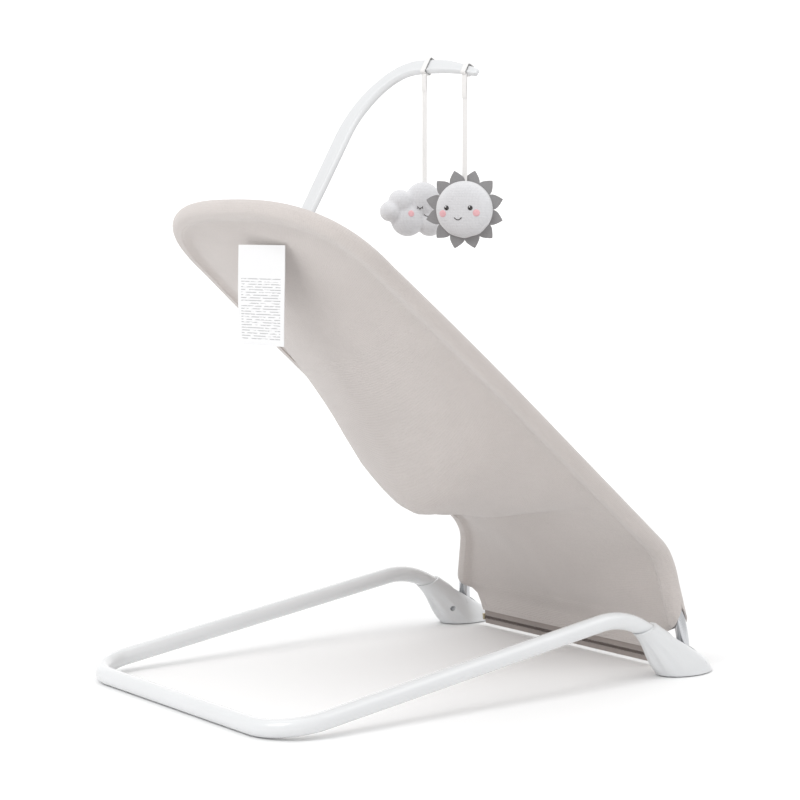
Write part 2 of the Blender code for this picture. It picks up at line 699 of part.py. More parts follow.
def slab_mesh(top, bottom):
    """A closed sheet between two grids of points."""
    bm = bmesh.new()
    over = [[bm.verts.new(p) for p in row] for row in top]
    under = [[bm.verts.new(p) for p in row] for row in bottom]
    rows, columns = len(top), len(top[0])
    for grid in (over, under):
        for i in range(rows - 1):
            for j in range(columns - 1):
                bm.faces.new((grid[i][j], grid[i][j + 1], grid[i + 1][j + 1], grid[i + 1][j]))
    rim = [(i, 0) for i in range(rows)] + [(rows - 1, j) for j in range(1, columns)]
    rim += [(i, columns - 1) for i in reversed(range(rows - 1))] + [(0, j) for j in reversed(range(1, columns - 1))]
    for (a, b), (c, d) in zip(rim, rim[1:] + rim[:1]):
        bm.faces.new((over[a][b], over[c][d], under[c][d], under[a][b]))
    return mesh_from(bm)


def seat_surface(x, along):
    """A point on the front of the seat, and the direction away from it."""
    at, normal = middle_point(x, along), seat_normal(x, along)
    hit = SEAT_FRONT[0].ray_cast(at + normal * 0.05, -normal)[0]
    return hit, normal


def strip_on_seat(spots, width, lift, thick):
    """A strap that follows the seat's front surface: spots are (x, along) pairs down its middle."""
    top, low = [], []
    for k, (x, along) in enumerate(spots):
        at, normal = seat_surface(x, along)
        before = seat_surface(*spots[max(0, k - 1)])[0]
        after = seat_surface(*spots[min(len(spots) - 1, k + 1)])[0]
        sideways = (after - before).normalized().cross(normal).normalized()
        edges = [at + sideways * width * share for share in (-0.5, -0.17, 0.17, 0.5)]
        low.append([lay_on_seat(p, normal, lift) for p in edges])
        top.append([p + normal * thick for p in low[-1]])
    return slab_mesh(top, low)


# ---------------------------------------------------------------- zip and label
def hem_y(z):
    return HINGE.y + (z - HINGE.z) * SEAT_LEAN


ZIP_HALF = 0.180
TAPE_HIGH = 0.0068
TAPE_THICK = 0.0009
CHAIN_HIGH = 0.0042
ZIP_LOW = 0.0032


def zip_box(x1, x2, z1, z2, y1, y2):
    """A box in the hem's leaning plane: y runs from the hem's middle surface, towards the rear."""
    mesh = box_mesh((x1, 0, 0), (x2, 1, 1))
    for vert in mesh.vertices:
        z = z1 + (z2 - z1) * vert.co.z
        vert.co = Vector((vert.co.x, hem_y(z) + y1 + (y2 - y1) * vert.co.y, z))
    return mesh


def make_zip():
    low_top = ZIP_LOW + TAPE_HIGH
    chain_top = low_top + CHAIN_HIGH + 2 * GAP
    back = TAPE_THICK
    add("zip_tape_lower", zip_box(-ZIP_HALF, ZIP_HALF, ZIP_LOW, low_top, 0.0, back), ZIP_TAPE)
    add("zip_tape_upper", zip_box(-ZIP_HALF, ZIP_HALF, chain_top, PANEL_EDGE[0][0] - GAP * 2, 0.0, back),
        ZIP_TAPE)
    add("zip_teeth", zip_box(-ZIP_HALF, ZIP_HALF, low_top + GAP, chain_top - GAP, -0.0006, back + 0.0008), ZIP_TAPE)
    middle = low_top + GAP + CHAIN_HIGH / 2
    for side in (1, -1):
        x1, x2 = sorted((side * (ZIP_HALF + GAP), side * (ZIP_HALF + 0.0045)))
        stop = add(f"zip_stop_{side_name(side)}", zip_box(x1, x2, middle - 0.0045, middle + 0.0045,
                                                          -0.0012, back + 0.0014), ZIP_METAL)
        smooth(stop)
    rear = back + 0.0008 + GAP
    x0 = -ZIP_HALF + 0.006
    slider = add("zip_slider", zip_box(x0 - 0.0045, x0 + 0.0045, middle - 0.0040, middle + 0.0040,
                                       rear, rear + 0.0030), ZIP_METAL, (x0, hem_y(middle) + rear, middle))
    smooth(slider)
    pull_y = hem_y(middle) + rear + 0.0030 + GAP
    eye = Vector((x0, pull_y + 0.0012, middle + 0.0020))
    profile = [(-0.0022, 0.0005), (0.0022, 0.0005), (0.0030, -0.0060), (0.0030, -0.0105), (0.0, -0.0125),
               (-0.0030, -0.0105), (-0.0030, -0.0060)]
    plates = [[Vector((eye.x + px, eye.y + py, eye.z + pz)) for px, pz in profile] for py in (-0.0008, 0.0008)]
    smooth(add("zip_pull", loft(plates), ZIP_METAL, eye))


LABEL_TOP = Vector((-0.0303, 0.2281, 0.5610))           # middle of its top edge
LABEL_WIDE = 0.080
LABEL_HIGH = 0.122
LABEL_TURN = math.radians(10.0)


def make_label():
    """A blank sewn-in label that hangs from the back of the head end."""
    mesh = box_mesh((-LABEL_WIDE / 2, 0.0, -LABEL_HIGH), (LABEL_WIDE / 2, 0.0008, 0.0))
    mesh.transform(Matrix.Translation(LABEL_TOP) @ Matrix.Rotation(LABEL_TURN, 4, "Z"))
    add("blank_label", mesh, LABEL, LABEL_TOP)


# ---------------------------------------------------------------- harness
BUCKLE_ALONG = 0.290
BUCKLE_LIFT = 0.0095
STRAP_THICK = 0.0014
STRAP_LIFT = 0.0010


def placed(mesh, lift):
    """Moves a mesh drawn flat (x across, y up the seat, z away from it) onto the seat's middle line."""
    at, normal = seat_surface(0.0, BUCKLE_ALONG)
    across = Vector((1, 0, 0))
    up = normal.cross(across).normalized()
    turn = Matrix((across, up, normal)).transposed().to_4x4()
    mesh.transform(Matrix.Translation(at + normal * (BUCKLE_LIFT + lift)) @ turn)
    return mesh


def rounded_plate(half_x, half_y, low, high, radius, corners=3):
    """A plate with round corners, drawn flat."""
    ring = []
    for sx, sy, start in ((1, 1, 0.0), (-1, 1, 0.5), (-1, -1, 1.0), (1, -1, 1.5)):
        for k in range(corners + 1):
            a = math.pi * (start + 0.5 * k / corners)
            ring.append((sx * (half_x - radius) + radius * math.cos(a), sy * (half_y - radius) + radius * math.sin(a)))
    return loft([[Vector((x, y, low)) for x, y in ring], [Vector((x, y, high)) for x, y in ring]])


def make_harness():
    spots = [(0.0, d) for d in np.linspace(0.136, 0.268, 10)]
    smooth(add("crotch_strap", strip_on_seat(spots, 0.032, STRAP_LIFT, STRAP_THICK), WEBBING))
    item = smooth(add("buckle_body", placed(rounded_plate(0.021, 0.026, 0.0, 0.0113, 0.006), 0.0), GREY_PLASTIC))
    well = placed(rounded_plate(0.0095, 0.0125, 0.0083, 0.02, 0.003), 0.0)
    slots = []
    for side in (1, -1):
        low, high = sorted((side * 0.0030, side * 0.0300))
        slots.append(placed(box_mesh((low, -0.0085, 0.0033), (high, 0.0085, 0.0063)), 0.0))
    cut(item, cutter("button_well", well), cutter("slot_left_room", slots[0]), cutter("slot_right_room", slots[1]))
    at, normal = seat_surface(0.0, BUCKLE_ALONG)
    button = placed(rounded_plate(0.0092, 0.0122, 0.0110, 0.0136, 0.0028), 0.0)
    smooth(add("buckle_button", button, BUTTON_GREY, at + normal * (BUCKLE_LIFT + 0.0113)))
    for side in (1, -1):
        name = side_name(side)
        tongue = rounded_plate(0.0115, 0.0080, 0.0037, 0.0059, 0.002)
        tongue.transform(Matrix.Translation((side * 0.0152, 0, 0)))
        smooth(add(f"buckle_tongue_{name}", placed(tongue, 0.0), GREY_PLASTIC))
        make_waist_strap(side, name)


def make_waist_strap(side, name):
    spots = [(side * x, BUCKLE_ALONG) for x in np.linspace(0.030, 0.158, 11)]
    smooth(add(f"waist_strap_{name}", strip_on_seat(spots, 0.025, STRAP_LIFT, STRAP_THICK), WEBBING))
    at, normal = seat_surface(side * 0.085, BUCKLE_ALONG)
    along = (seat_surface(side * 0.089, BUCKLE_ALONG)[0] - seat_surface(side * 0.081, BUCKLE_ALONG)[0]).normalized()
    turn = Matrix((along, normal.cross(along).normalized(), normal)).transposed().to_4x4()
    slide = rounded_plate(0.011, 0.016, 0.0, 0.0030, 0.003)
    slide.transform(Matrix.Translation(at + normal * (STRAP_LIFT + STRAP_THICK + 0.0010)) @ turn)
    smooth(add(f"strap_slide_{name}", slide, GREY_PLASTIC))


# ---------------------------------------------------------------- toy bar and toys
CLIP_ALONG = 0.480              # along the incline from the knee
BAR_X = 0.2070                  # the arm's upright part
BAR_TURN_R = 0.105
BAR_TURN_AT = 0.283             # height at which the upright part starts to bend over
BAR_DROOP_R = 0.55
BAR_DROOP = 0.1315
BAR_REACH = [0.034, 0.12, 0.25, 0.36, 0.47, 0.55, 0.61]         # height plus distance inwards from the upright part
BAR_OUTER = [0.0125, 0.0135, 0.0145, 0.0140, 0.0122, 0.0108, 0.0055]    # centreline to outer edge, at those
BAR_INNER = [0.0130, 0.0160, 0.0205, 0.0185, 0.0110, 0.0080, 0.0045]    # centreline to inner edge
BAR_DEEP = 0.0090
SPIGOT_R = 0.0060
SOCKET_R = 0.0105
SOCKET_FLOOR = 0.0145
SOCKET_TOP = 0.0340
CLIP_INNER = SKIN + COVER / 2 + 0.0009
CLIP_OUTER = CLIP_INNER + 0.0030
CLIP_HALF = 0.018
BAR_FOOT = incline_point(CLIP_ALONG, 0.0)
BAR_UP = Vector((0, -math.sin(BAR_LEAN), math.cos(BAR_LEAN)))
BAR_FACE = Vector((0, math.cos(BAR_LEAN), math.sin(BAR_LEAN)))


def bar_point(x, height):
    """A point of the plane that the arm bends in."""
    return Vector((x, BAR_FOOT.y, BAR_FOOT.z)) + BAR_UP * height


def bar_line():
    """The arm's centreline as (x, height) pairs, from its shoulder to its tip."""
    line = [(BAR_X, h) for h in (SOCKET_TOP + GAP, 0.12, 0.20)]
    for k in range(10):
        a = math.pi / 2 * k / 9
        line.append((BAR_X - BAR_TURN_R * (1 - math.cos(a)), BAR_TURN_AT + BAR_TURN_R * math.sin(a)))
    top_x, top = line[-1]
    for k in range(1, 7):
        a = BAR_DROOP / BAR_DROOP_R * k / 6
        line.append((top_x - BAR_DROOP_R * math.sin(a), top - BAR_DROOP_R * (1 - math.cos(a))))
    return line


BAR_LINE = bar_line()


def bar_section(edges, deep):
    """A flat band with a bevelled outer edge and a ridge near the inner one: (outwards, towards the face)."""
    outer, inner = edges
    w, c, d = (outer + inner) / 2, (outer - inner) / 2, deep / 2
    return [(c + a * w, b * d) for a, b in ((1, -0.35), (1, 0.20), (0.80, 0.80), (-0.46, 0.80), (-0.64, 1),
                                            (-0.80, 0.80), (-1, 0.10), (-1, -0.60), (-0.80, -1), (0.78, -1))]


def bar_edges_at(x, height):
    """Distances of the arm's outer and inner edges from its centreline."""
    reach = height + BAR_X - x
    return float(np.interp(reach, BAR_REACH, BAR_OUTER)), float(np.interp(reach, BAR_REACH, BAR_INNER))


def make_bar():
    rings = []
    last = len(BAR_LINE) - 1
    for k, (x, h) in enumerate(BAR_LINE):
        ahead, behind = BAR_LINE[min(k + 1, last)], BAR_LINE[max(k - 1, 0)]
        along = Vector((ahead[0] - behind[0], 0, ahead[1] - behind[1])).normalized()
        side = Vector((along.z, 0, 0)) + BAR_UP * -along.x
        rings.append([bar_point(x, h) + side * a + BAR_FACE * b
                      for a, b in bar_section(bar_edges_at(x, h), BAR_DEEP)])
    x, h = BAR_LINE[-1]
    for step, share in ((0.0035, 0.80), (0.0055, 0.50)):
        tip = bar_point(x - step, h - step * 0.21)
        rings.append([tip + (p - bar_point(x, h)) * share for p in rings[last]])
    item = add("toy_bar", loft(rings), WHITE_PLASTIC, bar_point(BAR_X, SOCKET_TOP))
    spigot = cutter("spigot", rod_mesh(bar_point(BAR_X, SOCKET_FLOOR + 0.0006), bar_point(BAR_X, SOCKET_TOP + 0.012),
                                       0.0042, sides=20))
    smooth(join(item, spigot))


def make_clip():
    """The clip that snaps over the covered seat tube, with the socket that the arm turns in."""
    before, after = incline_point(CLIP_ALONG - CLIP_HALF, 0.0), incline_point(CLIP_ALONG + CLIP_HALF, 0.0)
    tube_x = tube_x_at(CLIP_ALONG)
    axis = (after - before).normalized()
    outward, lift = Vector((1, 0, 0)), axis.cross(Vector((-1, 0, 0)))
    rings = []
    for end in (before, after):
        ring = []
        for radius, angles in ((CLIP_OUTER, np.linspace(-94, 94, 13)), (CLIP_INNER, np.linspace(94, -94, 13))):
            for a in np.radians(angles):
                arm = outward * math.cos(a) + lift * math.sin(a)
                ring.append(end + outward * tube_x + arm * radius)
        rings.append(ring)
    item = add("toy_bar_clip", loft(rings), WHITE_PLASTIC, bar_point(tube_x, 0.0))
    barrel = cutter("barrel", rod_mesh(bar_point(BAR_X, 0.003), bar_point(BAR_X, SOCKET_TOP), SOCKET_R, sides=24))
    join(item, barrel)
    room = cutter("tube_room", rod_mesh(incline_point(CLIP_ALONG - 0.05, tube_x_at(CLIP_ALONG - 0.05)),
                                        incline_point(CLIP_ALONG + 0.05, tube_x_at(CLIP_ALONG + 0.05)),
                                        CLIP_INNER, sides=32))
    bore = cutter("barrel_bore", rod_mesh(bar_point(BAR_X, SOCKET_FLOOR), bar_point(BAR_X, SOCKET_TOP + 0.01),
                                          SPIGOT_R + 0.0004, sides=24))
    smooth(cut(item, room, bore))
    middle = bar_point(BAR_X, 0.0)
    sleeve = add("arm_bush", rod_mesh(middle + BAR_UP * (SOCKET_FLOOR + GAP), middle + BAR_UP * (SOCKET_TOP - GAP),
                                      SPIGOT_R + 0.0001, sides=24), GREY_PLASTIC, middle)
    inside = cutter("bush_bore", rod_mesh(middle + BAR_UP * (SOCKET_FLOOR - 0.01), middle + BAR_UP * 0.06, 0.0045,
                                          sides=20))
    smooth(cut(sleeve, inside))


RIBBON_WIDE = 0.0095
RIBBON_THICK = 0.0010
LOOP_ROOM = 0.0022
TOY_TOP = {"cloud": 0.6432, "sun": 0.6530}
STRAP_X = {"cloud": 0.0800, "sun": -0.0100}
TAIL = {"cloud": 0.023, "sun": 0.030}
FACING = {"cloud": math.radians(70.6), "sun": math.radians(42.6)}   # from +Y towards -X
CLOUD_SHIFT = -0.018            # the cloud's middle, to the right of its ribbon
CLOUD_LOBES = [(0.016, 0.0115, 0.0255), (-0.0165, 0.0100, 0.0165), (-0.0310, -0.0030, 0.0140),
               (-0.0060, -0.0130, 0.0240), (0.0255, -0.0180, 0.0190), (0.0310, 0.0000, 0.0140)]
CLOUD_THICK = 0.0165
SUN_THICK = 0.0200
TOY_Z = 0.606
SUN_Z = 0.605


def bar_spot(x):
    """Height of the arm's centreline at x, and its width there."""
    line = BAR_LINE[8:]
    height = float(np.interp(-x, [-p[0] for p in line], [p[1] for p in line]))
    outer, inner = bar_edges_at(x, height)
    return height + (outer - inner) / 2, outer + inner


def band_mesh(path, sideways, width, thick, closed):
    """A flat ribbon along a path."""
    sections = []
    count = len(path)
    for k in range(count):
        ahead = path[(k + 1) % count] if closed else path[min(k + 1, count - 1)]
        behind = path[k - 1] if closed else path[max(k - 1, 0)]
        normal = (ahead - behind).normalized().cross(sideways).normalized()
        a, b = sideways * width / 2, normal * thick / 2
        sections.append([path[k] + a + b, path[k] - a + b, path[k] - a - b, path[k] + a - b])
    return loft(sections, closed=closed)


def hang_point(toy):
    """Where a ribbon leaves the arm's lower edge."""
    height, wide = bar_spot(STRAP_X[toy])
    return bar_point(STRAP_X[toy], height) - BAR_UP * (wide / 2 + LOOP_ROOM)


def make_ribbon(toy):
    """A ribbon sewn into a loop round the arm, with its tail folded down, and the length that hangs from it."""
    height, wide = bar_spot(STRAP_X[toy])
    at = bar_point(STRAP_X[toy], height)
    half_wide, half_deep = wide / 2 + LOOP_ROOM, BAR_DEEP / 2 + LOOP_ROOM
    radius = 0.0022
    ring = []
    for sx, sy, start in ((1, 1, 0.0), (-1, 1, 0.5), (-1, -1, 1.0), (1, -1, 1.5)):
        for k in range(3):
            a = math.pi * (start + 0.25 * k)
            ring.append(at + BAR_FACE * (sx * (half_deep - radius) + radius * math.cos(a))
                        + BAR_UP * (sy * (half_wide - radius) + radius * math.sin(a)))
    sideways = Vector((1, 0, 0))
    low = hang_point(toy)
    smooth(add(f"{toy}_ribbon_loop", band_mesh(ring, sideways, RIBBON_WIDE, RIBBON_THICK, True), RIBBON, at))
    top = low.z - 0.0018
    path = [Vector((low.x, low.y, z)) for z in np.linspace(top, TOY_TOP[toy], 5)]
    item = add(f"{toy}_ribbon", band_mesh(path, sideways, RIBBON_WIDE, RIBBON_THICK, False), RIBBON,
               (low.x, low.y, top))
    tail = box_mesh((low.x - 0.0045, low.y, top - TAIL[toy]), (low.x + 0.0045, low.y + 0.0015, top - 0.0008))
    smooth(join(item, cutter(f"{toy}_tail", tail)))


def ball_mesh(middle, right, face, sizes, segments=20, rings=12):
    """An ellipsoid with its own right and face directions and +Z up."""
    bm = bmesh.new()
    bmesh.ops.create_uvsphere(bm, u_segments=segments, v_segments=rings, radius=1.0)
    turn = Matrix((right * sizes[0], face * sizes[1], Vector((0, 0, sizes[2])))).transposed().to_4x4()
    bmesh.ops.transform(bm, verts=bm.verts, matrix=Matrix.Translation(middle) @ turn)
    return mesh_from(bm)


def toy_axes(toy):
    turn = FACING[toy]
    return Vector((-math.cos(turn), -math.sin(turn), 0)), Vector((-math.sin(turn), math.cos(turn), 0))


def make_toys():
    for toy in ("cloud", "sun"):
        make_ribbon(toy)
    right, face = toy_axes("sun")
    middle = Vector((STRAP_X["sun"], hang_point("sun").y, SUN_Z))
    smooth(add("sun_toy", ball_mesh(middle, right, face, (SUN_R, SUN_THICK, SUN_R), 24, 14), PLUSH, middle), 80)
    make_rays(middle, right, face)
    right, face = toy_axes("cloud")
    middle = Vector((STRAP_X["cloud"], hang_point("cloud").y, TOY_Z)) + right * CLOUD_SHIFT
    item = None
    for index, (across, high, radius) in enumerate(CLOUD_LOBES):
        at = middle + right * across + Vector((0, 0, high))
        mesh = ball_mesh(at, right, face, (radius, CLOUD_THICK - 0.0004 * index, radius), 14, 9)
        if item is None:
            item = add("cloud_toy", mesh, PLUSH, middle)
        else:
            step = item.modifiers.new(f"lobe_{index}", "BOOLEAN")
            step.operation = "UNION"
            step.object = cutter(f"lobe_{index}", mesh)
    smooth(item, 80)


def make_rays(middle, right, face):
    """The felt ring of pointed rays that is sewn into the sun's seam."""
    teeth = 12
    rings = []
    for k in range(teeth * 4):
        a = 2 * math.pi * k / (teeth * 4)
        reach = (0.0400, 0.0465, 0.0530, 0.0465)[k % 4]
        arm = right * math.sin(a) + Vector((0, 0, math.cos(a)))
        inner, outer, thick = middle + arm * (SUN_R + 0.0006), middle + arm * reach, face * 0.0011
        rings.append([inner + thick, outer + thick, outer - thick, inner - thick])
    smooth(add("sun_rays", loft(rings, closed=True), FELT, middle), 30)


# ---------------------------------------------------------------- build
def main():
    smooth(add("base_tube", tube_mesh(BASE_PATH, BASE_R, BASE_WALL, sides=14), WHITE_PAINT), 60)
    smooth(add("seat_tube", tube_mesh(SEAT_PATH, SEAT_R, SEAT_WALL, sides=12), BRIGHT_STEEL,
               (0, HINGE.y, HINGE.z)), 60)
    for side in (1, -1):
        make_foot(side)
        make_lug(side)
    make_cover()
    make_zip()
    make_label()
    make_harness()
    make_bar()
    make_clip()
    make_toys()


main()
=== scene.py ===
import math

import bmesh
import bpy
import numpy as np
from mathutils import Matrix, Vector, noise
from mathutils.bvhtree import BVHTree


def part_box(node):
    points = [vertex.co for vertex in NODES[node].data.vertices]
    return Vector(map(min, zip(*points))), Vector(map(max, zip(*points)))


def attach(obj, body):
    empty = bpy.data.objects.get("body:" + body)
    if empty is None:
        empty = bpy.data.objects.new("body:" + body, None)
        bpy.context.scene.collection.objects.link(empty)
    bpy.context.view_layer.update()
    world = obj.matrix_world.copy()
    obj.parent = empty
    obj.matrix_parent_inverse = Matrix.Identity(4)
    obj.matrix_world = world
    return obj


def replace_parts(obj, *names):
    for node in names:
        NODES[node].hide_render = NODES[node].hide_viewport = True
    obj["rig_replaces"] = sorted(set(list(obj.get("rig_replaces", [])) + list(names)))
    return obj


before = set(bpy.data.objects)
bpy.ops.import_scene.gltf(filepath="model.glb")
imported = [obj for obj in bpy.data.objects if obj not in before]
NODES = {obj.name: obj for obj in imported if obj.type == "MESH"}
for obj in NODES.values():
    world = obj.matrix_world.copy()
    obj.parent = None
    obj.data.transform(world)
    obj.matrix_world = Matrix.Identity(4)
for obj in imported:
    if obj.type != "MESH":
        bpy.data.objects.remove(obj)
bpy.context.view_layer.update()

# ---------------------------------------------------------------- driving dimensions
GAP = 0.0003                    # between pieces that touch

REAR_Y = 0.335                  # centreline of the floor tube's rear run
BASE_HALF = 0.225               # centreline of each floor leg, from the middle
BASE_R = 0.011
BASE_WALL = 0.0013
BASE_CORNER = 0.062             # rear bend radius
BASE_RISE = math.radians(8.2)   # legs rise towards the front
ARCH_Y = -0.153                 # where a leg starts to bend down
ARCH_R = 0.115
ARCH_DIP = math.radians(28.0)   # leg's slope below the horizontal in the foot
SOCKET_DEPTH = 0.027

SEAT_R = 0.008
SEAT_WALL = 0.0012
SEAT_LEAN = 0.0993              # lower tube leans back this much for each metre of height
SEAT_INCLINE = math.radians(40.0)
RECLINE = math.radians(25.0)    # from upright to lying flat
KNEE = Vector((0.0, -0.2888, 0.1515))   # where the lower and upper centrelines would cross
HINGE_Z = 0.022
HINGE = Vector((0.0, KNEE.y - (KNEE.z - HINGE_Z) * SEAT_LEAN, HINGE_Z))
KNEE_R = 0.070
FOOT_HALF = 0.2265              # seat tube's half spacing at the hinge
KNEE_HALF = 0.2067
HEAD_HALF = 0.194
HEAD_START = 0.585              # along the incline from the knee
HEAD_TOP = 0.706
HEAD_POWER = 2.67               # the head loop is a quarter superellipse on each side
TUBE_START = 0.013              # lower end of the tube, above the hinge axis

COVER = 0.0022                  # thickness of one layer of the cover
SKIN = SEAT_R + 2 * GAP + COVER / 2         # a layer's middle surface, from the tube's centreline
LAYER_GAP = 0.0016              # from the middle of the cover to the middle of a layer
POUCH_POWER = 1.75
POUCH = [(0.125, 0.030), (0.188, 0.077), (0.240, 0.103), (0.292, 0.133),
         (0.344, 0.1575), (0.397, 0.124), (0.449, 0.091), (0.501, 0.070), (0.553, 0.053), (0.6055, 0.034),
         (0.6577, 0.014), (0.700, 0.0)]     # distance along the incline, sag of the middle line
POUCH_EDGE = 0.010              # the cover stays flat this far in from the tube
PANEL_EDGE = [(0.0230, 0.182), (0.035, 0.186), (0.047, 0.192), (0.053, 0.204), (0.058, 0.2155)]
SLEEVE_START = [(0.063, 0.0), (0.069, 25.0), (0.075, 50.0), (0.081, 72.0), (0.087, 88.0)]

FOOT_LONG = 0.0430
FOOT_WIDE = 0.0275
FOOT_X = 0.2265
MOUTH_R = 0.0150

BAR_LEAN = math.radians(30.0)
SUN_R = 0.0375


# ---------------------------------------------------------------- small helpers
def link(name, mesh, paint, body=None, stands_for=()):
    """A piece of the visual model: its material, the body it rides on and the CAD nodes it stands for."""
    made = bpy.data.objects.new(name, mesh)
    bpy.context.scene.collection.objects.link(made)
    if paint is not None:
        mesh.materials.clear()
        mesh.materials.append(paint)
    if body:
        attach(made, body)
    if stands_for:
        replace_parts(made, *stands_for)
    return made


def apply_modifiers(item):
    """Turns the item's modifiers into its mesh, and removes the helpers that they used."""
    helpers = [m.object for m in item.modifiers if m.type == "BOOLEAN" and m.object]
    graph = bpy.context.evaluated_depsgraph_get()
    mesh = bpy.data.meshes.new_from_object(item.evaluated_get(graph))
    item.modifiers.clear()
    item.data = mesh
    for helper in set(helpers):
        bpy.data.objects.remove(helper)
    return item


def mesh_from(bm, name="shape"):
    bmesh.ops.recalc_face_normals(bm, faces=bm.faces)
    mesh = bpy.data.meshes.new(name)
    bm.to_mesh(mesh)
    bm.free()
    return mesh


def smooth(item, degrees=35.0):
    item.data.shade_smooth()
    item.data.set_sharp_from_angle(angle=math.radians(degrees))
    return item


def side_name(side):
    return "left" if side > 0 else "right"


def box_mesh(low, high):
    low, high = Vector(low), Vector(high)
    bm = bmesh.new()
    bmesh.ops.create_cube(bm, size=1.0)
    size = high - low
    middle = (low + high) / 2
    for vert in bm.verts:
        vert.co = Vector(a * b for a, b in zip(vert.co, size)) + middle
    return mesh_from(bm)


def rod_mesh(start, end, r1, r2=None, sides=20):
    """A cylinder or cone from start to end."""
    start, end = Vector(start), Vector(end)
    axis = end - start
    bm = bmesh.new()
    bmesh.ops.create_cone(bm, cap_ends=True, segments=sides, radius1=r1,
                          radius2=r1 if r2 is None else r2, depth=axis.length)
    turn = Vector((0, 0, 1)).rotation_difference(axis).to_matrix().to_4x4()
    bmesh.ops.transform(bm, verts=bm.verts, matrix=Matrix.Translation((start + end) / 2) @ turn)
    return mesh_from(bm)


def loft(sections, closed=False):
    """A skin over rings of equally many points; both ends are capped unless the rings close on themselves."""
    bm = bmesh.new()
    rings = [[bm.verts.new(point) for point in ring] for ring in sections]
    pairs = list(zip(rings, rings[1:]))
    if closed:
        pairs.append((rings[-1], rings[0]))
    for ring, after in pairs:
        for i in range(len(ring)):
            j = (i + 1) % len(ring)
            bm.faces.new((ring[i], ring[j], after[j], after[i]))
    if not closed:
        bm.faces.new(list(reversed(rings[0])))
        bm.faces.new(rings[-1])
    return mesh_from(bm)


def cut(item, *cutters):
    """Cuts the cutters from the item with exact Booleans."""
    for index, tool in enumerate(cutters):
        step = item.modifiers.new(f"cut_{index}", "BOOLEAN")
        step.operation = "DIFFERENCE"
        step.object = tool
    return item


def keep(item, helper):
    """Keeps only what lies inside the helper."""
    step = item.modifiers.new("keep", "BOOLEAN")
    step.operation = "INTERSECT"
    step.object = helper
    return item


def cutter(name, mesh):
    made = bpy.data.objects.new(name, mesh)
    bpy.context.scene.collection.objects.link(made)
    return made


def frames_along(points):
    """A tangent and two normals at each point of a path, with no twist."""
    points = [Vector(p) for p in points]
    tangents = []
    for i in range(len(points)):
        ahead = points[min(i + 1, len(points) - 1)]
        behind = points[max(i - 1, 0)]
        tangents.append((ahead - behind).normalized())
    normal = tangents[0].orthogonal().normalized()
    out = []
    for tangent in tangents:
        normal = (normal - tangent * normal.dot(tangent)).normalized()
        out.append((tangent, normal, tangent.cross(normal)))
    return out


def tube_mesh(points, radius, wall=None, sides=16):
    """A round bar along a path, or an open-ended tube if a wall is given."""
    points = [Vector(p) for p in points]
    frames = frames_along(points)

    def ring(i, r):
        _, n1, n2 = frames[i]
        steps = [2 * math.pi * k / sides for k in range(sides)]
        return [points[i] + r * (math.cos(a) * n1 + math.sin(a) * n2) for a in steps]

    outer = [ring(i, radius) for i in range(len(points))]
    if wall is None:
        return loft(outer)
    inner = [ring(i, radius - wall) for i in reversed(range(len(points)))]
    return loft(outer + inner, closed=True)


def arc_points(start, direction, turn_axis, radius, angle, steps):
    """Points on an arc that leaves start along direction and turns by angle about turn_axis."""
    direction = Vector(direction).normalized()
    turn_axis = Vector(turn_axis).normalized()
    centre = Vector(start) + turn_axis.cross(direction) * radius
    arm = Vector(start) - centre
    return [centre + Matrix.Rotation(angle * k / steps, 3, turn_axis) @ arm for k in range(1, steps + 1)]


# ---------------------------------------------------------------- floor tube
def base_path():
    """Centreline of the floor tube, from the right foot round the back to the left foot."""
    forward = Vector((0, -math.cos(BASE_RISE), math.sin(BASE_RISE)))
    dip = Vector((0, -math.cos(ARCH_DIP), -math.sin(ARCH_DIP)))
    side = [Vector((0.0, REAR_Y, BASE_R)), Vector((BASE_HALF - BASE_CORNER, REAR_Y, BASE_R))]
    side += arc_points(side[-1], (1, 0, 0), Vector((1, 0, 0)).cross(forward), BASE_CORNER, math.pi / 2, 24)
    corner_end = side[-1]
    length = (corner_end.y - ARCH_Y) / math.cos(BASE_RISE)
    side += [corner_end + forward * length * share for share in (0.25, 0.5, 0.75, 1.0)]
    side += arc_points(side[-1], forward, (1, 0, 0), ARCH_R, BASE_RISE + ARCH_DIP, 20)
    side.append(side[-1] + dip * SOCKET_DEPTH)
    mirrored = [Vector((-p.x, p.y, p.z)) for p in reversed(side[1:])]
    return mirrored + side


BASE_PATH = base_path()


# ---------------------------------------------------------------- seat tube
def incline_point(along, x):
    """A point of the seat tube's upper plane: distance along the incline from the knee, and x."""
    return Vector((x, KNEE.y + along * math.cos(SEAT_INCLINE), KNEE.z + along * math.sin(SEAT_INCLINE)))


def knee_tangent():
    """Length from the knee's corner to where its bend starts."""
    lean = math.atan(SEAT_LEAN)
    return KNEE_R * math.tan((math.pi / 2 - lean - SEAT_INCLINE) / 2)


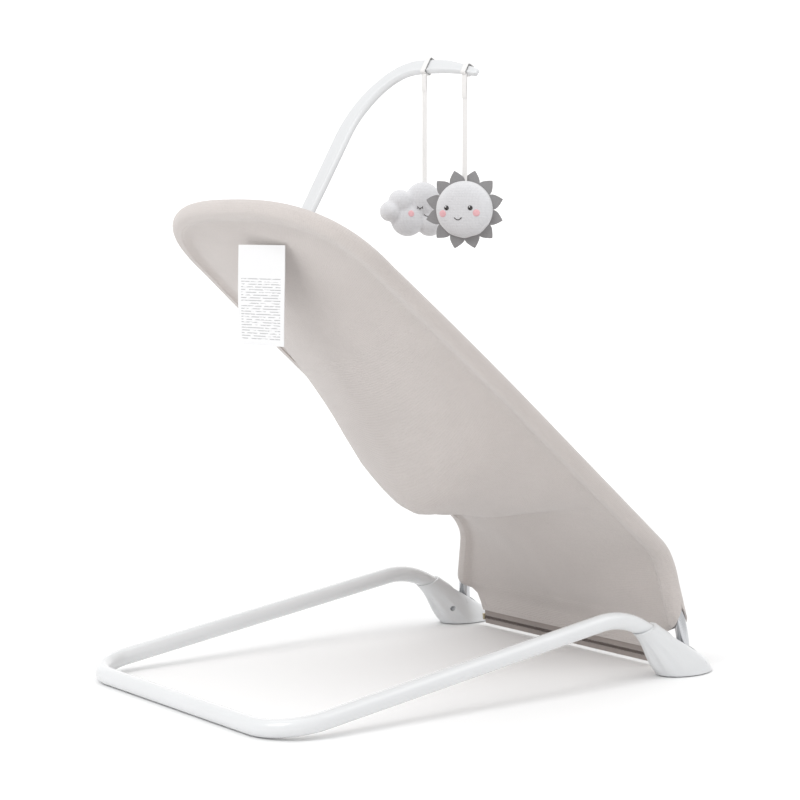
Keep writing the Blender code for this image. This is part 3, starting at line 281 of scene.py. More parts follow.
def seat_side():
    """Centreline of the left half of the seat tube, from the hinge end up to the middle of the head."""
    lower = Vector((0, SEAT_LEAN, 1)).normalized()
    turn = math.pi / 2 - math.atan(SEAT_LEAN) - SEAT_INCLINE
    tangent = knee_tangent()
    bend_start = KNEE - lower * tangent
    low_end = HINGE + lower * TUBE_START
    low_end.y = bend_start.y - (bend_start.z - low_end.z) * SEAT_LEAN
    line = [low_end.lerp(bend_start, share) for share in np.linspace(0, 1, 13)]
    line += arc_points(bend_start, lower, (-1, 0, 0), KNEE_R, turn, 20)
    line += [incline_point(d, 0.0) for d in np.linspace(tangent, HEAD_START, 40)[1:]]
    travel = [0.0]
    for before, after in zip(line, line[1:]):
        travel.append(travel[-1] + (after - before).length)
    knee_at = travel[22]
    for point, d in zip(line, travel):
        if d < knee_at:
            share = d / knee_at
            point.x = FOOT_HALF + (KNEE_HALF - FOOT_HALF) * (3 * share ** 2 - 2 * share ** 3)
        else:
            share = max(0.0, (d - knee_at) / (travel[-1] - knee_at) * 2.0 - 1.0)
            point.x = KNEE_HALF + (HEAD_HALF - KNEE_HALF) * share ** 2
    for k in range(1, 41):
        angle = math.pi / 2 * k / 40
        x = HEAD_HALF * math.cos(angle) ** (2 / HEAD_POWER) if k < 40 else 0.0
        rise = (HEAD_TOP - HEAD_START) * math.sin(angle) ** (2 / HEAD_POWER)
        line.append(incline_point(HEAD_START + rise, x))
    return line


SEAT_SIDE = seat_side()
SEAT_PATH = SEAT_SIDE + [Vector((-p.x, p.y, p.z)) for p in reversed(SEAT_SIDE[:-1])]


# ---------------------------------------------------------------- feet
def bezier(points, t):
    """A point of the cubic through four control points, each a (y, z) pair."""
    u = 1 - t
    weights = (u ** 3, 3 * u ** 2 * t, 3 * u * t ** 2, t ** 3)
    return Vector((0, sum(w * p[0] for w, p in zip(weights, points)),
                   sum(w * p[1] for w, p in zip(weights, points))))


FOOT_FLOOR = 0.0012             # underside of the housing; the pad stands proud of it
FOOT_FRONT = [(-0.2475, 0.0720), (-0.2990, 0.0385), (-0.3460, 0.0170), (-0.3460, FOOT_FLOOR)]
FOOT_REAR = [(-0.2125, 0.0612), (-0.2360, 0.0410), (-0.2400, 0.0180), (-0.2590, FOOT_FLOOR)]
FLUTES = 5
SLOT_HALF = 0.0118              # half width of the slot that the seat tube swings in
SLOT_REAR = 0.0116              # room behind the tube when it lies back, for the cover's sleeve


def foot_body_mesh(side):
    """The whole foot before it is split: ovals that run from the tube's mouth down to the floor."""
    sections = []
    for k in range(37):
        t = k / 36
        front, rear = bezier(FOOT_FRONT, t), bezier(FOOT_REAR, t)
        middle, arm = (front + rear) / 2, (front - rear) / 2
        wide = MOUTH_R + (FOOT_WIDE - MOUTH_R) * math.sin(math.pi / 2 * t) ** 1.5
        flute = 0.045 * math.sin(math.pi * min(1.0, max(0.0, (t - 0.15) / 0.85))) ** 0.7
        ring = []
        for i in range(120):
            angle = 2 * math.pi * i / 120
            behind = max(0.0, -math.cos(angle)) ** 0.5
            grow = 1.0 + flute * behind * math.cos(2 * FLUTES * angle)
            x = FOOT_X + wide * math.sin(angle) * grow
            ring.append(Vector((side * x, 0, 0)) + middle + arm * math.cos(angle) * grow)
        sections.append(ring)
    return loft(sections)


def slot_mesh(side):
    """The space that the seat tube sweeps between upright and flat, as a wedge that opens upwards."""
    half = SEAT_R + 0.0010
    reach = 0.13
    lean = math.atan(SEAT_LEAN)
    rows = []
    for angle, side_half in ((lean, -half), (lean + RECLINE, SLOT_REAR)):
        along = Vector((0, math.sin(angle), math.cos(angle)))
        across = Vector((0, math.cos(angle), -math.sin(angle))) * side_half
        rows.append((HINGE + across, HINGE + across + along * reach))
    (low_a, high_a), (low_b, high_b) = rows
    outline = [low_a, high_a, high_b, low_b, HINGE + Vector((0, 0, -half))]
    ends = [side * (FOOT_X - SLOT_HALF), side * (FOOT_X + SLOT_HALF)]
    return loft([[Vector((x, p.y, p.z)) for p in outline] for x in ends])


EYE_R = 0.0120
PIN_R = 0.0030
PIN_HALF = 0.0170
SCREW_SPOTS = {"rear": (-0.2620, 0.0250), "front": (-0.3270, 0.0115)}
SCREW_R = 0.0020
SCREW_HEAD_R = 0.0036


def across_rod(side, y, z, x1, x2, radius, sides=20):
    return rod_mesh((side * x1, y, z), (side * x2, y, z), radius, sides=sides)


def foot_cutters(side):
    name = side_name(side)
    tube_end = BASE_PATH[-24:]
    beyond = tube_end[-1] + (tube_end[-1] - tube_end[-2]).normalized() * GAP * 2
    socket = [Vector((side * p.x, p.y, p.z)) for p in tube_end[:-1] + [beyond]]
    tools = [cutter(f"socket_{name}", tube_mesh(socket, BASE_R + GAP, sides=24)),
             cutter(f"slot_{name}", slot_mesh(side)),
             cutter(f"eye_room_{name}", across_rod(side, HINGE.y, HINGE.z, FOOT_X - SLOT_HALF,
                                                   FOOT_X + SLOT_HALF, EYE_R + 0.001, 24)),
             cutter(f"pin_hole_{name}", across_rod(side, HINGE.y, HINGE.z, FOOT_X - PIN_HALF - GAP,
                                                   FOOT_X + PIN_HALF + GAP, PIN_R + GAP)),
             cutter(f"pad_room_{name}", pad_mesh(side, GAP, FOOT_PAD_TOP + GAP, -0.002))]
    for spot, (y, z) in SCREW_SPOTS.items():
        tools.append(cutter(f"{spot}_screw_hole_{name}",
                            across_rod(side, y, z, FOOT_X - 0.0175, FOOT_X + 0.0125, SCREW_R + GAP, 12)))
        tools.append(cutter(f"{spot}_screw_room_{name}",
                            across_rod(side, y, z, FOOT_X - 0.045, FOOT_X - 0.0137, SCREW_HEAD_R + 0.0004)))
    return tools


FOOT_PAD_TOP = 0.0040


def pad_mesh(side, grow, top, bottom):
    """An oval plate under the foot."""
    middle = Vector((side * FOOT_X, (FOOT_FRONT[3][0] + FOOT_REAR[3][0]) / 2, 0))
    rings = []
    for z in (bottom, top):
        rings.append([middle + Vector(((FOOT_WIDE - 0.007 + grow) * math.sin(a),
                                       (FOOT_LONG - 0.008 + grow) * math.cos(a), z))
                      for a in np.linspace(0, 2 * math.pi, 33)[:-1]])
    return loft(rings)


# ---------------------------------------------------------------- cover
BEND_END = knee_tangent()       # along the incline, where the knee's bend ends
SPINE_TOP = 0.640               # the middle line of the cover is counted up to here
PATH_ARRAY = np.array([tuple(p) for p in SEAT_PATH])


FOLD_FOOT_Z = 0.066             # height where the cover starts to lean back to the fold
FOLD = incline_point(POUCH[0][0], 0.0) - Vector((0, 0, POUCH[0][1]))


def pouch_depth(along):
    """Sag of the seat's middle line, a distance along the incline from the knee."""
    at = [p[0] for p in POUCH]
    depths = [p[1] for p in POUCH]
    if not at[0] <= along < at[-1]:
        return 0.0
    k = max(0, int(np.searchsorted(at, along)) - 1)
    slopes = [(depths[1] - depths[0]) / (at[1] - at[0])]
    for i in range(1, len(at) - 1):
        before = (depths[i] - depths[i - 1]) / (at[i] - at[i - 1])
        after = (depths[i + 1] - depths[i]) / (at[i + 1] - at[i])
        slopes.append(0.0 if before * after <= 0 else 2 * before * after / (before + after))
    slopes.append(0.0)
    span = at[k + 1] - at[k]
    t = (along - at[k]) / span
    return ((2 * t ** 3 - 3 * t ** 2 + 1) * depths[k] + (t ** 3 - 2 * t ** 2 + t) * span * slopes[k]
            + (-2 * t ** 3 + 3 * t ** 2) * depths[k + 1] + (t ** 3 - t ** 2) * span * slopes[k + 1])


def tube_x_at(along):
    """Half spacing of the seat tube, a distance along the incline from the knee."""
    line = [p for p in SEAT_SIDE if p.z > KNEE.z]
    far = [(p.z - KNEE.z) / math.sin(SEAT_INCLINE) for p in line]
    return float(np.interp(along, far, [p.x for p in line]))


def fold_shift(z):
    """How far the cover's middle line lies behind the tubes, on its straight run from hem to fold."""
    line = [p for p in SEAT_SIDE if FOLD_FOOT_Z - 0.02 < p.z < FOLD.z + 0.08]
    travel = [0.0]
    for before, after in zip(line, line[1:]):
        travel.append(travel[-1] + (after - before).length)
    heights = [p.z for p in line]
    foot, top, here = (float(np.interp(h, heights, travel)) for h in (FOLD_FOOT_Z, FOLD.z + POUCH[0][1], z))
    share = min(1.0, max(0.0, (here - foot) / (top - foot)))
    if share <= 0.0:
        return Vector((0, 0, 0))
    start = Vector((0, HINGE.y + (FOLD_FOOT_Z - HINGE.z) * SEAT_LEAN, FOLD_FOOT_Z))
    return start.lerp(FOLD, share) - Vector((0, float(np.interp(z, heights, [p.y for p in line])), z))


def sag_share(x, half):
    return max(0.0, 1 - (abs(x) / max(0.01, half - POUCH_EDGE)) ** POUCH_POWER)


def middle_point(x, along):
    """A point halfway between the layers of the seat, from its x and its distance along the incline."""
    flat = incline_point(along, x)
    share = sag_share(x, tube_x_at(along))
    if along < POUCH[0][0]:
        return flat + fold_shift(flat.z) * share
    flat.z -= pouch_depth(along) * share
    return flat


def panel_point(at):
    """A point of the cover below the seat, from the same point of the plane between the tubes."""
    half = float(np.interp(at.z, [p.z for p in SEAT_SIDE], [p.x for p in SEAT_SIDE]))
    return at + fold_shift(at.z) * sag_share(at.x, half)


def spread(point):
    """From the middle of the cover to the middle of a layer: more round the tube, at the edge."""
    away = np.sqrt(((PATH_ARRAY - np.array(tuple(point))) ** 2).sum(axis=1)).min()
    t = min(1.0, max(0.0, (0.020 - away) / 0.012))
    return LAYER_GAP + (SKIN - LAYER_GAP) * t * t * (3 - 2 * t)


def front_normal(tangent):
    """The direction towards the child, square to the tube."""
    flat = Vector((0, tangent.y, tangent.z))
    if flat.length < 0.3:
        return Vector((0, -math.sin(SEAT_INCLINE), math.cos(SEAT_INCLINE)))
    flat.normalize()
    return Vector((0, -flat.z, flat.y))


# ---------------------------------------------------------------- toy bar and toys
CLIP_ALONG = 0.480              # along the incline from the knee
BAR_X = 0.2070                  # the arm's upright part
BAR_TURN_R = 0.105
BAR_TURN_AT = 0.283             # height at which the upright part starts to bend over
BAR_DROOP_R = 0.55
BAR_DROOP = 0.1315
BAR_REACH = [0.034, 0.12, 0.25, 0.36, 0.47, 0.55, 0.61]         # height plus distance in from the upright
BAR_OUTER = [0.0125, 0.0135, 0.0145, 0.0140, 0.0122, 0.0108, 0.0055]    # centreline to outer edge, at those
BAR_INNER = [0.0130, 0.0160, 0.0205, 0.0185, 0.0110, 0.0080, 0.0045]    # centreline to inner edge
BAR_DEEP = 0.0090
SOCKET_FLOOR = 0.0145
SOCKET_TOP = 0.0340
BAR_FOOT = incline_point(CLIP_ALONG, 0.0)
BAR_UP = Vector((0, -math.sin(BAR_LEAN), math.cos(BAR_LEAN)))
BAR_FACE = Vector((0, math.cos(BAR_LEAN), math.sin(BAR_LEAN)))


def bar_point(x, height):
    """A point of the plane that the arm bends in."""
    return Vector((x, BAR_FOOT.y, BAR_FOOT.z)) + BAR_UP * height


def bar_line():
    """The arm's centreline as (x, height) pairs, from its shoulder to its tip."""
    line = [(BAR_X, h) for h in (SOCKET_TOP + GAP, 0.12, 0.20)]
    for k in range(31):
        a = math.pi / 2 * k / 30
        line.append((BAR_X - BAR_TURN_R * (1 - math.cos(a)), BAR_TURN_AT + BAR_TURN_R * math.sin(a)))
    top_x, top = line[-1]
    for k in range(1, 19):
        a = BAR_DROOP / BAR_DROOP_R * k / 18
        line.append((top_x - BAR_DROOP_R * math.sin(a), top - BAR_DROOP_R * (1 - math.cos(a))))
    return line


BAR_LINE = bar_line()


def bar_section(edges, deep):
    """A flat band with a bevelled outer edge and a ridge near the inner one: (outwards, towards the face)."""
    outer, inner = edges
    w, c, d = (outer + inner) / 2, (outer - inner) / 2, deep / 2
    return [(c + a * w, b * d) for a, b in ((1, -0.35), (1, 0.20), (0.80, 0.80), (-0.46, 0.80), (-0.64, 1),
                                            (-0.80, 0.80), (-1, 0.10), (-1, -0.60), (-0.80, -1), (0.78, -1))]


def bar_edges_at(x, height):
    """Distances of the arm's outer and inner edges from its centreline."""
    reach = height + BAR_X - x
    return float(np.interp(reach, BAR_REACH, BAR_OUTER)), float(np.interp(reach, BAR_REACH, BAR_INNER))


RIBBON_WIDE = 0.0095
RIBBON_THICK = 0.0010
LOOP_ROOM = 0.0022
TOY_TOP = {"cloud": 0.6432, "sun": 0.6530}
STRAP_X = {"cloud": 0.0800, "sun": -0.0100}
TAIL = {"cloud": 0.023, "sun": 0.030}
FACING = {"cloud": math.radians(70.6), "sun": math.radians(42.6)}   # from +Y towards -X
CLOUD_SHIFT = -0.018            # the cloud's middle, to the right of its ribbon
CLOUD_LOBES = [(0.016, 0.0115, 0.0255), (-0.0165, 0.0100, 0.0165), (-0.0310, -0.0030, 0.0140),
               (-0.0060, -0.0130, 0.0240), (0.0255, -0.0180, 0.0190), (0.0310, 0.0000, 0.0140)]
CLOUD_THICK = 0.0165
SUN_THICK = 0.0200
TOY_Z = 0.606
SUN_Z = 0.605


def bar_spot(x):
    """Height of the arm's centreline at x, and its width there."""
    line = BAR_LINE[20:]
    height = float(np.interp(-x, [-p[0] for p in line], [p[1] for p in line]))
    outer, inner = bar_edges_at(x, height)
    return height + (outer - inner) / 2, outer + inner


def hang_point(toy):
    """Where a ribbon leaves the arm's lower edge."""
    height, wide = bar_spot(STRAP_X[toy])
    return bar_point(STRAP_X[toy], height) - BAR_UP * (wide / 2 + LOOP_ROOM)


def toy_axes(toy):
    turn = FACING[toy]
    return Vector((-math.cos(turn), -math.sin(turn), 0)), Vector((-math.sin(turn), math.cos(turn), 0))


# ---------------------------------------------------------------- materials
def shader(name, colour, roughness, metallic=0.0, sheen=0.0, coat=0.0):
    made = bpy.data.materials.new(name)
    made.use_nodes = True
    node = made.node_tree.nodes["Principled BSDF"]
    node.inputs["Base Color"].default_value = (*colour, 1.0)
    node.inputs["Roughness"].default_value = roughness
    node.inputs["Metallic"].default_value = metallic
    node.inputs["Sheen Weight"].default_value = sheen
    node.inputs["Sheen Roughness"].default_value = 0.6
    node.inputs["Coat Weight"].default_value = coat
    node.inputs["Coat Roughness"].default_value = 0.12
    return made, made.node_tree.nodes, made.node_tree.links, node


def colour_mix(nodes, links, factor, dark, light):
    mix = nodes.new("ShaderNodeMix")
    mix.data_type = "RGBA"
    mix.inputs["A"].default_value = (*dark, 1.0)
    mix.inputs["B"].default_value = (*light, 1.0)
    links.new(factor, mix.inputs["Factor"])
    return mix.outputs["Result"]


def noise_node(nodes, links, scale, detail=3.0, source=None, stretch=None):
    where = nodes.new("ShaderNodeTexCoord").outputs["Object"] if source is None else source
    if stretch is not None:
        mapping = nodes.new("ShaderNodeMapping")
        mapping.inputs["Scale"].default_value = stretch
        links.new(where, mapping.inputs["Vector"])
        where = mapping.outputs["Vector"]
    grain = nodes.new("ShaderNodeTexNoise")
    grain.inputs["Scale"].default_value = scale
    grain.inputs["Detail"].default_value = detail
    links.new(where, grain.inputs["Vector"])
    return grain.outputs["Fac"]


def ranged(nodes, links, value, low, high):
    fit = nodes.new("ShaderNodeMapRange")
    fit.inputs["To Min"].default_value = low
    fit.inputs["To Max"].default_value = high
    links.new(value, fit.inputs["Value"])
    return fit.outputs["Result"]


def bump(nodes, links, height, strength, distance, under=None):
    node = nodes.new("ShaderNodeBump")
    node.inputs["Strength"].default_value = strength
    node.inputs["Distance"].default_value = distance
    links.new(height, node.inputs["Height"])
    if under is not None:
        links.new(under, node.inputs["Normal"])
    return node.outputs["Normal"]


def shade(colour, share):
    return tuple(min(1.0, c * share) for c in colour)


def moulded(name, colour, roughness, grain=900.0, depth=0.00006, vary=0.05, metallic=0.0, coat=0.0,
            stretch=None):
    """Paint, plastic, rubber or metal: fine surface grain, and slow changes of tone and gloss."""
    made, nodes, links, node = shader(name, colour, roughness, metallic, coat=coat)
    slow = noise_node(nodes, links, 14.0)
    links.new(colour_mix(nodes, links, slow, shade(colour, 1 - vary), shade(colour, 1 + vary)),
              node.inputs["Base Color"])
    fine = noise_node(nodes, links, grain, 4.0, stretch=stretch)
    mid = noise_node(nodes, links, 60.0, 2.0)
    links.new(ranged(nodes, links, mid, roughness - 0.06, roughness + 0.06), node.inputs["Roughness"])
    links.new(bump(nodes, links, fine, 0.5, depth), node.inputs["Normal"])
    return made


def wave_node(nodes, links, where, direction, period, distortion=1.2):
    wave = nodes.new("ShaderNodeTexWave")
    wave.wave_type = "BANDS"
    wave.bands_direction = direction
    wave.inputs["Scale"].default_value = 0.314 / period
    wave.inputs["Distortion"].default_value = distortion
    wave.inputs["Detail"].default_value = 1.0
    wave.inputs["Detail Scale"].default_value = 1.5
    links.new(where, wave.inputs["Vector"])
    return wave.outputs["Fac"]


def woven(name, colour, period=0.0016, depth=0.00035, vary=0.07, sheen=0.35, dark=0.78, rows=("X", "Y"),
          uv=True, pile=0.0):
    """Knitted or woven cloth: two crossing sets of threads, slubs, and slow changes of tone."""
    made, nodes, links, node = shader(name, colour, 0.88, sheen=sheen)
    node.inputs["Specular IOR Level"].default_value = 0.25
    where = nodes.new("ShaderNodeTexCoord").outputs["UV" if uv else "Object"]
    first = wave_node(nodes, links, where, rows[0], period)
    second = wave_node(nodes, links, where, rows[1], period * 1.35)
    weave = nodes.new("ShaderNodeMath")
    weave.operation = "MULTIPLY"
    links.new(first, weave.inputs[0])
    links.new(second, weave.inputs[1])
    slub = noise_node(nodes, links, 420.0, 4.0)
    total = nodes.new("ShaderNodeMath")
    total.operation = "ADD"
    links.new(weave.outputs[0], total.inputs[0])
    links.new(slub, total.inputs[1])
    slow = noise_node(nodes, links, 22.0, 4.0)
    tone = colour_mix(nodes, links, slow, shade(colour, 1 - vary), shade(colour, 1 + vary * 0.6))
    thread = nodes.new("ShaderNodeMix")
    thread.data_type = "RGBA"
    thread.blend_type = "MULTIPLY"
    thread.inputs["Factor"].default_value = 1.0
    links.new(tone, thread.inputs["A"])
    links.new(colour_mix(nodes, links, ranged(nodes, links, total.outputs[0], 0.0, 1.4), (dark, dark, dark),
                         (1.0, 1.0, 1.0)), thread.inputs["B"])
    links.new(thread.outputs["Result"], node.inputs["Base Color"])
    normal = bump(nodes, links, total.outputs[0], 0.7, depth)
    if pile:
        normal = bump(nodes, links, noise_node(nodes, links, 260.0, 5.0), 0.8, pile, normal)
    links.new(normal, node.inputs["Normal"])
    links.new(ranged(nodes, links, slow, 0.82, 0.94), node.inputs["Roughness"])
    return made


PAINT = moulded("frame_paint", (0.74, 0.75, 0.76), 0.24, 500.0, 0.00003, 0.02, coat=0.5)
SHELL = moulded("shell_plastic", (0.72, 0.73, 0.74), 0.30, 1400.0, 0.00003, 0.02, coat=0.25)
ARM = moulded("arm_plastic", (0.66, 0.67, 0.68), 0.33, 1400.0, 0.00003, 0.02, coat=0.2)
GREY = moulded("grey_plastic_look", (0.16, 0.16, 0.17), 0.45, 1800.0, 0.00008, 0.08)
BUTTON = moulded("button_look", (0.42, 0.42, 0.43), 0.42, 1800.0, 0.00008, 0.06)
STEEL = moulded("steel_look", (0.60, 0.61, 0.63), 0.20, 900.0, 0.00002, 0.06, metallic=1.0,
                stretch=(1.0, 1.0, 0.05))
PAD = moulded("rubber_look", (0.20, 0.20, 0.21), 0.78, 1500.0, 0.00015, 0.12)
BRASS = moulded("zip_metal_look", (0.62, 0.54, 0.38), 0.34, 900.0, 0.00004, 0.12, metallic=1.0)
KNIT = woven("cover_knit", (0.565, 0.520, 0.497), 0.0021, 0.00045, 0.06, dark=0.84)
KNIT_EDGE = woven("cover_thread", (0.62, 0.58, 0.56), 0.0010, 0.0001, 0.04, uv=False)
TAPE = woven("zip_tape_look", (0.36, 0.315, 0.295), 0.0012, 0.0002, 0.10, sheen=0.1, uv=False,
             rows=("X", "Z"))
TEETH = moulded("zip_teeth_look", (0.13, 0.105, 0.095), 0.42, 1500.0, 0.00004, 0.15)
WEB = woven("webbing_look", (0.50, 0.46, 0.44), 0.0018, 0.0004, 0.06, uv=False, rows=("X", "Y"))
SATIN = woven("ribbon_look", (0.78, 0.77, 0.76), 0.0009, 0.0001, 0.04, sheen=0.2, uv=False,
              rows=("X", "Z"), dark=0.90)
PLUSH_LOOK = woven("plush_look", (0.66, 0.66, 0.68), 0.0026, 0.0003, 0.06, sheen=0.8, uv=False,
                   rows=("X", "Z"), dark=0.86, pile=0.0009)
FELT_LOOK = woven("felt_look", (0.27, 0.265, 0.27), 0.0014, 0.0002, 0.14, sheen=0.5, uv=False,
                  rows=("X", "Z"), pile=0.0004)
BLACK = moulded("bead_black", (0.015, 0.013, 0.013), 0.16, 600.0, 0.00001, 0.1, coat=0.6)
THREAD = moulded("thread_dark", (0.035, 0.03, 0.03), 0.70, 2500.0, 0.00008, 0.15)
HILIGHT = moulded("bead_shine", (0.85, 0.85, 0.86), 0.30, 900.0, 0.00001, 0.02)
CHEEK = woven("cheek_pink", (0.80, 0.45, 0.48), 0.0012, 0.0002, 0.05, uv=False, rows=("X", "Z"), pile=0.0003)


def label_look():
    """White woven label with a few plain grey bars, which stand for nothing."""
    made, nodes, links, node = shader("label_look", (0.80, 0.80, 0.80), 0.62, sheen=0.2)
    place = nodes.new("ShaderNodeTexCoord").outputs["UV"]
    split = nodes.new("ShaderNodeSeparateXYZ")
    links.new(place, split.inputs["Vector"])

    def above(source, edge, greater=True):
        test = nodes.new("ShaderNodeMath")
        test.operation = "GREATER_THAN" if greater else "LESS_THAN"
        test.inputs[1].default_value = edge
        links.new(source, test.inputs[0])
        return test.outputs[0]

    def both(*tests):
        total = tests[0]
        for other in tests[1:]:
            product = nodes.new("ShaderNodeMath")
            product.operation = "MULTIPLY"
            links.new(total, product.inputs[0])
            links.new(other, product.inputs[1])
            total = product.outputs[0]
        return total

    line = nodes.new("ShaderNodeMath")
    line.operation = "PINGPONG"
    line.inputs[1].default_value = 0.00165
    links.new(split.outputs["Y"], line.inputs[0])
    ragged = noise_node(nodes, links, 120.0, 1.0, source=place, stretch=(1.0, 4.0, 1.0))
    inside = [above(split.outputs["X"], 0.006), above(split.outputs["X"], 0.074, False),
              above(split.outputs["Y"], 0.006), above(split.outputs["Y"], 0.082, False)]
    bars = both(above(line.outputs[0], 0.0011), *inside, above(ragged, 0.44))
    tone = colour_mix(nodes, links, bars, (0.78, 0.78, 0.785), (0.42, 0.42, 0.43))
    links.new(tone, node.inputs["Base Color"])
    links.new(bump(nodes, links, noise_node(nodes, links, 900.0, 3.0), 0.4, 0.0001), node.inputs["Normal"])
    return made


LABEL_LOOK = label_look()

CAD_PAINTS = {"hinge_lug": GREY, "hinge_pin": STEEL, "hinge_washer": STEEL, "foot_screw": STEEL,
              "foot_pad": PAD, "zip_stop": BRASS, "zip_slider": BRASS, "zip_pull": BRASS, "buckle_body": GREY,
              "buckle_button": BUTTON, "buckle_tongue": GREY, "strap_slide": GREY, "toy_bar_clip": ARM,
              "arm_bush": GREY}


def paint_cad_pieces():
    """Carried-over CAD pieces keep their shape and take the material of what they are made of."""
    for prefix, paint in CAD_PAINTS.items():
        for name, item in NODES.items():
            if name.startswith(prefix):
                item.data.materials.clear()
                item.data.materials.append(paint)


paint_cad_pieces()


# ---------------------------------------------------------------- frame
def edge_round(mesh, width, segments=2):
    """Rounds the mesh's sharp edges a little."""
    bm = bmesh.new()
    bm.from_mesh(mesh)
    sharp = [e for e in bm.edges if len(e.link_faces) == 2 and e.calc_face_angle(0.0) > math.radians(40)]
    bmesh.ops.bevel(bm, geom=sharp, offset=width, segments=segments, affect="EDGES", profile=0.5,
                    clamp_overlap=True)
    bm.to_mesh(mesh)
    bm.free()


def make_frame():
    item = link("floor_loop", tube_mesh(BASE_PATH, BASE_R, BASE_WALL, sides=40), PAINT, "base", ["base_tube"])
    smooth(item, 50)
    item = link("seat_loop", tube_mesh(SEAT_PATH, SEAT_R, SEAT_WALL, sides=32), STEEL, "seat_frame",
                ["seat_tube"])
    smooth(item, 50)


def make_foot(side):
    name = side_name(side)
    for shell, x1, x2 in (("outer", FOOT_X + GAP / 2, FOOT_X + 0.06),
                          ("inner", FOOT_X - 0.06, FOOT_X - GAP / 2)):
        low, high = sorted((side * x1, side * x2))
        item = link(f"foot_housing_{shell}_{name}", foot_body_mesh(side), SHELL)
        keep(item, cutter(f"half_{shell}_{name}", box_mesh((low, -0.40, -0.01), (high, -0.15, 0.12))))
        cut(item, *foot_cutters(side))
        apply_modifiers(item)
        item.data.materials.clear()
        item.data.materials.append(SHELL)
        smooth(item, 32)
        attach(item, "base")
        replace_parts(item, f"foot_{shell}_shell_{name}")


make_frame()
for foot_side in (1, -1):
    make_foot(foot_side)


# ---------------------------------------------------------------- cover
SLEEVE = [(0.0, 1.0), (0.14, 1.0), (0.28, 1.0), (0.42, 1.0), (0.56, 1.0), (0.70, 1.0), (0.85, 1.0)]
EDGE_STEPS = (0.0, 0.002, 0.004, 0.006, 0.008, 0.0095, 0.0103, 0.0109, 0.0115, 0.0123, 0.014, 0.017, 0.021)
MIDDLE_STEPS = tuple(np.linspace(0, 1, 19)[1:])
PANEL_Z = [p[0] for p in PANEL_EDGE] + [SLEEVE_START[0][0]]
PANEL_X = [p[1] for p in PANEL_EDGE]


def all_rows():
    """Rows from hem to head: edge, tangent, wrap angle, middle line, and whether it is in the seat."""
    lean = Vector((0, SEAT_LEAN, 1)).normalized()
    heights = [p.z for p in SEAT_SIDE]
    first_x = float(np.interp(SLEEVE_START[0][0], heights, [p.x for p in SEAT_SIDE]))
    rows = []
    for z in np.arange(PANEL_EDGE[0][0], SLEEVE_START[-1][0] + 0.004, 0.003):
        y = HINGE.y + (z - HINGE.z) * SEAT_LEAN
        if z < SLEEVE_START[0][0]:
            x = float(np.interp(z, PANEL_Z, PANEL_X + [first_x]))
            wrap = 0.0
        else:
            x = float(np.interp(z, heights, [p.x for p in SEAT_SIDE]))
            wrap = float(np.interp(z, [p[0] for p in SLEEVE_START], [p[1] for p in SLEEVE_START]))
        rows.append((Vector((x, y, z)), lean, wrap, Vector((0, y, z)), False))
    line = [p for p in SEAT_SIDE if p.z > SLEEVE_START[-1][0] + 0.006]
    top = incline_point(BEND_END, 0).z
    travel = [0.0]
    for before, after in zip(line, line[1:]):
        travel.append(travel[-1] + (after - before).length)
    split = next(k for k, p in enumerate(line) if p.z > incline_point(0.50, 0).z)
    low = (line[split].z - KNEE.z) / math.sin(SEAT_INCLINE)
    for k, at in enumerate(line):
        behind = line[k - 1] if k else line[0]
        ahead = line[k + 1] if k < len(line) - 1 else Vector((-line[-2].x, line[-2].y, line[-2].z))
        tangent = (ahead - behind).normalized()
        if at.z < top - 1e-5:
            rows.append((at.copy(), tangent, 90.4, Vector((0, at.y, at.z)), False))
            continue
        along = (at.z - KNEE.z) / math.sin(SEAT_INCLINE)
        if k > split:
            along = low + (SPINE_TOP - low) * (travel[k] - travel[split]) / (travel[-1] - travel[split])
        rows.append((at.copy(), tangent, 90.4, incline_point(along, 0.0), True))
    return rows


def seat_normal(x, along):
    step = 0.003
    over = middle_point(x + step, along) - middle_point(x - step, along)
    up = middle_point(x, along + step) - middle_point(x, along - step)
    return over.cross(up).normalized()


def wrinkle(at, inside):
    """Small folds of the cloth, none at the tubes: they gather where the seat folds into the back."""
    y = at.y
    fold = math.exp(-((y + 0.030) / 0.045) ** 2)
    soft = noise.noise(Vector((at.x * 9, at.y * 12, at.z * 12))) * 0.0016
    rib = noise.noise(Vector((at.x * 14 + 3, at.y * 55, at.z * 55))) * 0.0016 * fold
    knee = noise.noise(Vector((at.x * 30, at.y * 9, at.z * 9 + 5))) * 0.0010
    knee *= math.exp(-((y + 0.262) / 0.03) ** 2)
    return (soft + rib + knee) * inside


def cloth_point(at, seat, front, sign, shift, inside):
    if seat:
        along = (at.z - KNEE.z) / math.sin(SEAT_INCLINE)
        middle, normal = middle_point(at.x, along), seat_normal(at.x, along)
    else:
        middle, normal = panel_point(at), front.copy()
    if abs(at.x) < 1e-9:
        normal.x = 0.0
        normal.normalize()
    groove = 0.0
    if 0.0 < inside < 1.0:
        groove = -0.0005 * math.exp(-((inside - 0.52) / 0.05) ** 2)
    folds = wrinkle(Vector((abs(middle.x), middle.y, middle.z)), min(1.0, max(0.0, inside - 0.5) * 2))
    return middle + normal * (sign * (spread(at) + groove) + shift + folds)


